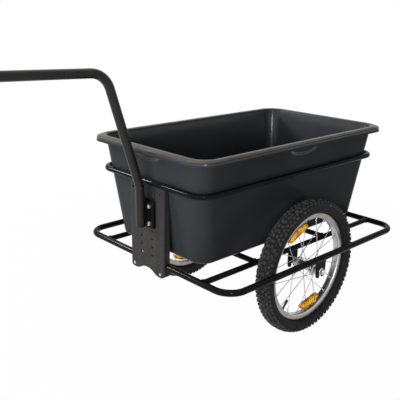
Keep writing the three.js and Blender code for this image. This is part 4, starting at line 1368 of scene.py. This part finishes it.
def add_tub():
    top = tub_high.z
    under = top - tub_wall
    lip_foot = top - lip_height
    dents = top - scoop_level
    outer_levels = spread(tub_low.z + tub_bottom_round, dents, 5)[1:-1] + spread(dents, under, 20)
    inner_levels = spread(top - inner_round, tub_low.z + tub_bottom_round, 8)[1:-1]
    rings = bottom_rings(0)[::-1]
    rings += [wall_ring(z, 0, scoop_depth) for z in outer_levels]
    edge = top - rim_drop
    start = lip_round * lip_start_share
    lip = [(under - rim_drop, lip_wall + lip_round), (under - rim_drop - lip_round, lip_wall),
           (lip_foot + lip_round, lip_wall), (lip_foot, lip_wall - lip_round),
           (lip_foot, lip_round), (lip_foot + start, start), (lip_foot + lip_round, 0)]
    rings += [rim_ring(z, inset) for z, inset in lip]
    rings += [rim_ring(edge - rim_round * (1 - math.sin(t)), lip_lean + rim_round * (1 - math.cos(t)))
              for t in spread(0, math.pi / 2, 5)]
    rings += [wall_ring(top - rim_crown, -rim_land - rim_crown_half)]
    rings += [wall_ring(top, -rim_land + rim_crown_half)]
    rings += [wall_ring(top - inner_round * (1 - math.cos(t)), tub_wall - inner_round * (1 - math.sin(t)))
              for t in spread(0, math.pi / 2, 6)]
    rings += [wall_ring(z, tub_wall) for z in inner_levels]
    rings += bottom_rings(tub_wall)
    refine("moulded_tub", skin(rings), "tub", 50)


# Coupling, built forward along -Y from the drawbar's end

sleeve_start, sleeve_end, spindle_end = 4.6 * mm, 33.6 * mm, 37.9 * mm
pitch_reach, yaw_reach = 60 * mm, 86 * mm
clamp_back, post_place, clamp_front = 108 * mm, 132 * mm, 156 * mm
cheek_inside, cheek_outside = 8.3 * mm, 14.3 * mm
ear_inside, ear_outside = 11.3 * mm, 19.3 * mm
sleeve_radius = 14 * mm
spindle_radius = 6 * mm
cheek_round = 10 * mm
knuckle_half = 8 * mm
knuckle_round = 11 * mm
pin_radius = 4 * mm
pin_head = 6.5 * mm
pin_head_height = 3 * mm
play = 0.4 * mm
post_radius = 15 * mm
clamp_half = 27 * mm
clamp_bolt_offset = 21 * mm
clamp_split = 0.6 * mm
spindle_head_radius = 7.8 * mm
bore_reach = 60 * mm


def coupling_frame():
    axis = joints["hitch_roll"]["axis"]
    rise = math.atan2(axis[2], -axis[1])
    return Matrix.Translation(joints["hitch_roll"]["pos_m"]) @ Matrix.Rotation(-rise, 4, "X")


def headed_pin(half, axis, place):
    inner = half + seat
    outer = inner + pin_head_height
    side = [(pin_radius, inner)] + barrel(pin_head, inner, outer)[1:]
    return turned([(radius, -along) for radius, along in reversed(side)] + side, axis, place)


def tongue(root, end, round_radius):
    """An outline from a root to a half round end, along the second axis towards its negative side."""
    arc = [(round_radius * math.cos(t), -end - round_radius * math.sin(t)) for t in spread(0, math.pi, 20)]
    return [(round_radius, -root)] + arc + [(-round_radius, -root)]


def side_sheet(outline, thickness, x, hole=None):
    """A sheet whose outline is given as (height, place along Y), standing at a place across."""
    loops = [[(along, height) for height, along in outline]]
    if hole:
        loops.append(round_hole(hole, 0, 2 * (pin_radius + play)))
    return moved(plate(loops, thickness, 0), Matrix.Translation((x, 0, 0)) @ turn_xy_to_yz())


def bore(radius, axis, place, half=bore_reach):
    return turned(cylinder(radius, -half, half), axis, Vector(place))


def jaw(front, back):
    return block((-clamp_half, front, -ear_outside), (clamp_half, back, ear_outside))


def clamp_bores():
    """Cutters for the seat post and the bolts. A cut uses its tool up, so each jaw has its own set."""
    rods = [bore(bolt_radius + seat, (0, 1, 0), (sign * clamp_bolt_offset, -post_place, 0))
            for sign in (-1, 1)]
    return [bore(post_radius, (0, 0, 1), (0, -post_place, 0))] + rods


def add_coupling():
    place = coupling_frame()
    ahead = (0, -1, 0)
    stem = barrel(drawbar_tube / 2, seat, sleeve_start - seat)[:-1] + [(spindle_radius, sleeve_start - seat)]
    stem += [(spindle_radius, sleeve_end + seat)]
    stem += barrel(spindle_head_radius, sleeve_end + seat, spindle_end)[1:]
    refine("spindle", moved(turned(stem, ahead, Vector()), place), "hitch_spindle")
    yoke = turned(barrel(sleeve_radius, sleeve_start, sleeve_end, spindle_radius + play), ahead, Vector())
    for sign in (-1, 1):
        x = sign * (cheek_inside + cheek_outside) / 2
        cheek = tongue((sleeve_start + sleeve_end) / 2, pitch_reach, cheek_round)
        cheek_form = side_sheet(cheek, cheek_outside - cheek_inside, x, -pitch_reach)
        yoke = combined(yoke, cheek_form, "UNION", broken_edge if sign > 0 else 0)
    refine("yoke_fork", moved(yoke, place), "hitch_yoke")
    cross_pin = headed_pin(cheek_outside, (1, 0, 0), Vector((0, -pitch_reach, 0)))
    refine("cross_pin", moved(cross_pin, place), "hitch_pin")
    upright_pin = headed_pin(ear_outside, (0, 0, 1), Vector((0, -yaw_reach, 0)))
    refine("upright_pin", moved(upright_pin, place), "swivel_pin")
    lug = [(knuckle_round * math.cos(t), -pitch_reach + knuckle_round * math.sin(t))
           for t in spread(0, math.pi, 20)]
    lug += [(-knuckle_round, -clamp_back), (knuckle_round, -clamp_back)]
    body = side_sheet(lug, 2 * knuckle_half, 0)
    nose = plate([tongue(pitch_reach / 2, yaw_reach, knuckle_half)], 2 * knuckle_round, 0)
    body = combined(body, nose, "INTERSECT")
    eyes = joined([bore(pin_radius + play, (1, 0, 0), (0, -pitch_reach, 0)),
                   bore(pin_radius + play, (0, 0, 1), (0, -yaw_reach, 0))])
    refine("knuckle_block", moved(combined(body, eyes, "DIFFERENCE", broken_edge), place), "hitch_knuckle")
    eye = bore(pin_radius + play, (0, 0, 1), (0, -yaw_reach, 0))
    rear = jaw(-post_place + clamp_split, -clamp_back)
    for sign in (-1, 1):
        ear = plate([tongue(clamp_back + seat, yaw_reach, knuckle_round)], ear_outside - ear_inside, 0)
        level = Matrix.Translation((0, 0, sign * (ear_inside + ear_outside) / 2))
        rear = combined(rear, moved(ear, level), "UNION")
    refine("clamp_jaw", moved(drilled(rear, clamp_bores() + [eye]), place), "post_clamp")
    cap = jaw(-clamp_front, -post_place - clamp_split)
    refine("clamp_jaw_cap", moved(drilled(cap, clamp_bores()), place), "post_clamp_cap")
    for side, sign in sides.items():
        x = sign * clamp_bolt_offset
        start = Vector((x, -clamp_front - seat - bolt_head_height, 0))
        end = Vector((x, -clamp_back + seat + bolt_head_height, 0))
        refine(f"jaw_bolt_{side}", moved(hex_bolt(start, end, 0), place), f"clamp_bolt_{side}")


def drilled(form, tools):
    for tool in tools[:-1]:
        form = combined(form, tool, "DIFFERENCE")
    return combined(form, tools[-1], "DIFFERENCE", broken_edge)


# Stage, lights and camera

world_fill = 0.075
floor_veil = 0.98
floor_fade = (1.1, 2.2)
floor_half = 20
floor_cells = 8
floor_grey = (0.45, 0.45, 0.45, 1)

# Lamps, each by its name, place, aim, size and power, and whether a gloss mirrors it
lamps = (
    ("key", (0.5, -3.2, 0.85), (0, 0, 0.4), (2.6, 1.6), 130, False),
    ("overhead", (-0.6, 0, 2.6), (0, 0, 0.3), (2.6, 3), 19, True),
    ("front", (2.57, -1.96, 1.05), (0, 0, 0.5), (0.22, 0.9), 34, True),
    ("left", (-2.3, -1.7, 1.9), (0, 0, 0.4), (0.9, 0.55), 100, True),
)


def seen_share(tree):
    """1 for what the camera sees, also in a gloss or through a lens, and 0 for light that falls on things."""
    path = add_node(tree, "ShaderNodeLightPath")
    total = path.outputs["Is Camera Ray"]
    for ray in ("Is Glossy Ray", "Is Transmission Ray"):
        pair = {0: total, 1: path.outputs[ray]}
        total = add_node(tree, "ShaderNodeMath", pair, operation="MAXIMUM").outputs[0]
    return total


def add_world():
    world = bpy.data.worlds.new("studio")
    world.use_nodes = True
    bpy.context.scene.world = world
    tree = world.node_tree
    light = tree.nodes["Background"]
    light.inputs["Color"].default_value = (1, 1, 1, 1)
    fill = {"Value": seen_share(tree), "To Min": world_fill, "To Max": 1}
    strength = add_node(tree, "ShaderNodeMapRange", fill)
    tree.links.new(strength.outputs["Result"], light.inputs["Strength"])


def add_floor():
    form = bmesh.new()
    bmesh.ops.create_grid(form, x_segments=floor_cells, y_segments=floor_cells, size=floor_half)
    mesh = bpy.data.meshes.new("floor")
    form.to_mesh(mesh)
    form.free()
    floor = bpy.data.objects.new("floor", mesh)
    floor.location.z = -seat
    bpy.context.scene.collection.objects.link(floor)
    material = bpy.data.materials.new("floor")
    material.use_nodes = True
    mesh.materials.append(material)
    tree = material.node_tree
    tree.nodes.clear()
    place = add_node(tree, "ShaderNodeTexCoord").outputs["Object"]
    far = add_node(tree, "ShaderNodeVectorMath", {0: place}, operation="LENGTH").outputs["Value"]
    fade = {"Value": far, "From Min": floor_fade[0], "From Max": floor_fade[1],
            "To Min": floor_veil, "To Max": 1}
    veil = add_node(tree, "ShaderNodeMapRange", fade).outputs["Result"]
    share = add_node(tree, "ShaderNodeMath", {0: seen_share(tree), 1: veil}, operation="MULTIPLY").outputs[0]
    matt = add_node(tree, "ShaderNodeBsdfDiffuse", {"Color": floor_grey}).outputs[0]
    glow = add_node(tree, "ShaderNodeEmission", {"Strength": 1}).outputs[0]
    mix = add_node(tree, "ShaderNodeMixShader", {0: share, 1: matt, 2: glow}).outputs[0]
    add_node(tree, "ShaderNodeOutputMaterial", {"Surface": mix})


def add_light(name, place, aim, size, power, mirrored_in_gloss):
    light = bpy.data.lights.new(name, "AREA")
    light.shape = "RECTANGLE"
    light.size, light.size_y = size
    light.energy = power
    holder = bpy.data.objects.new(name, light)
    place, aim = at(*place), at(*aim)
    aimed = (aim - place).to_track_quat("-Z", "Y").to_matrix().to_4x4()
    holder.matrix_world = Matrix.Translation(place) @ aimed
    holder.visible_glossy = mirrored_in_gloss
    bpy.context.scene.collection.objects.link(holder)


def add_camera():
    azimuth, elevation, roll = (math.radians(a) for a in (camera_azimuth, camera_elevation, camera_roll))
    back = Vector((math.sin(azimuth) * math.cos(elevation), -math.cos(azimuth) * math.cos(elevation),
                   math.sin(elevation)))
    level = Vector((math.cos(azimuth), math.sin(azimuth), 0))
    rise = back.cross(level)
    right = level * math.cos(roll) + rise * math.sin(roll)
    up = rise * math.cos(roll) - level * math.sin(roll)
    camera = bpy.data.cameras.new("camera")
    camera.sensor_width = sensor_width
    camera.lens = camera_focus * sensor_width / photo_width
    camera.shift_x = 0.5 - principal_point[0] / photo_width
    camera.shift_y = principal_point[1] / photo_width - 0.5
    holder = bpy.data.objects.new("camera", camera)
    place = at(*camera_target) + back * camera_distance
    holder.matrix_world = Matrix.Translation(place) @ Matrix((right, up, back)).transposed().to_4x4()
    bpy.context.scene.collection.objects.link(holder)
    bpy.context.scene.camera = holder


def paint_nodes():
    for name, node in frame["nodes"].items():
        for place in node.material_slots:
            place.material = materials[slot_of[name]]


paint_nodes()
add_chassis()
add_ring()
add_axle_brackets()
add_front_plate()
add_rear()
add_hoop_welds()
add_drawbar()
add_bracket()
add_bracket_bolts()
for wheel_side in sides:
    add_wheel(wheel_side)
add_tub()
add_coupling()
add_world()
add_floor()
for lamp in lamps:
    add_light(*lamp)
add_camera()
bpy.context.scene.view_settings.view_transform = "Standard"
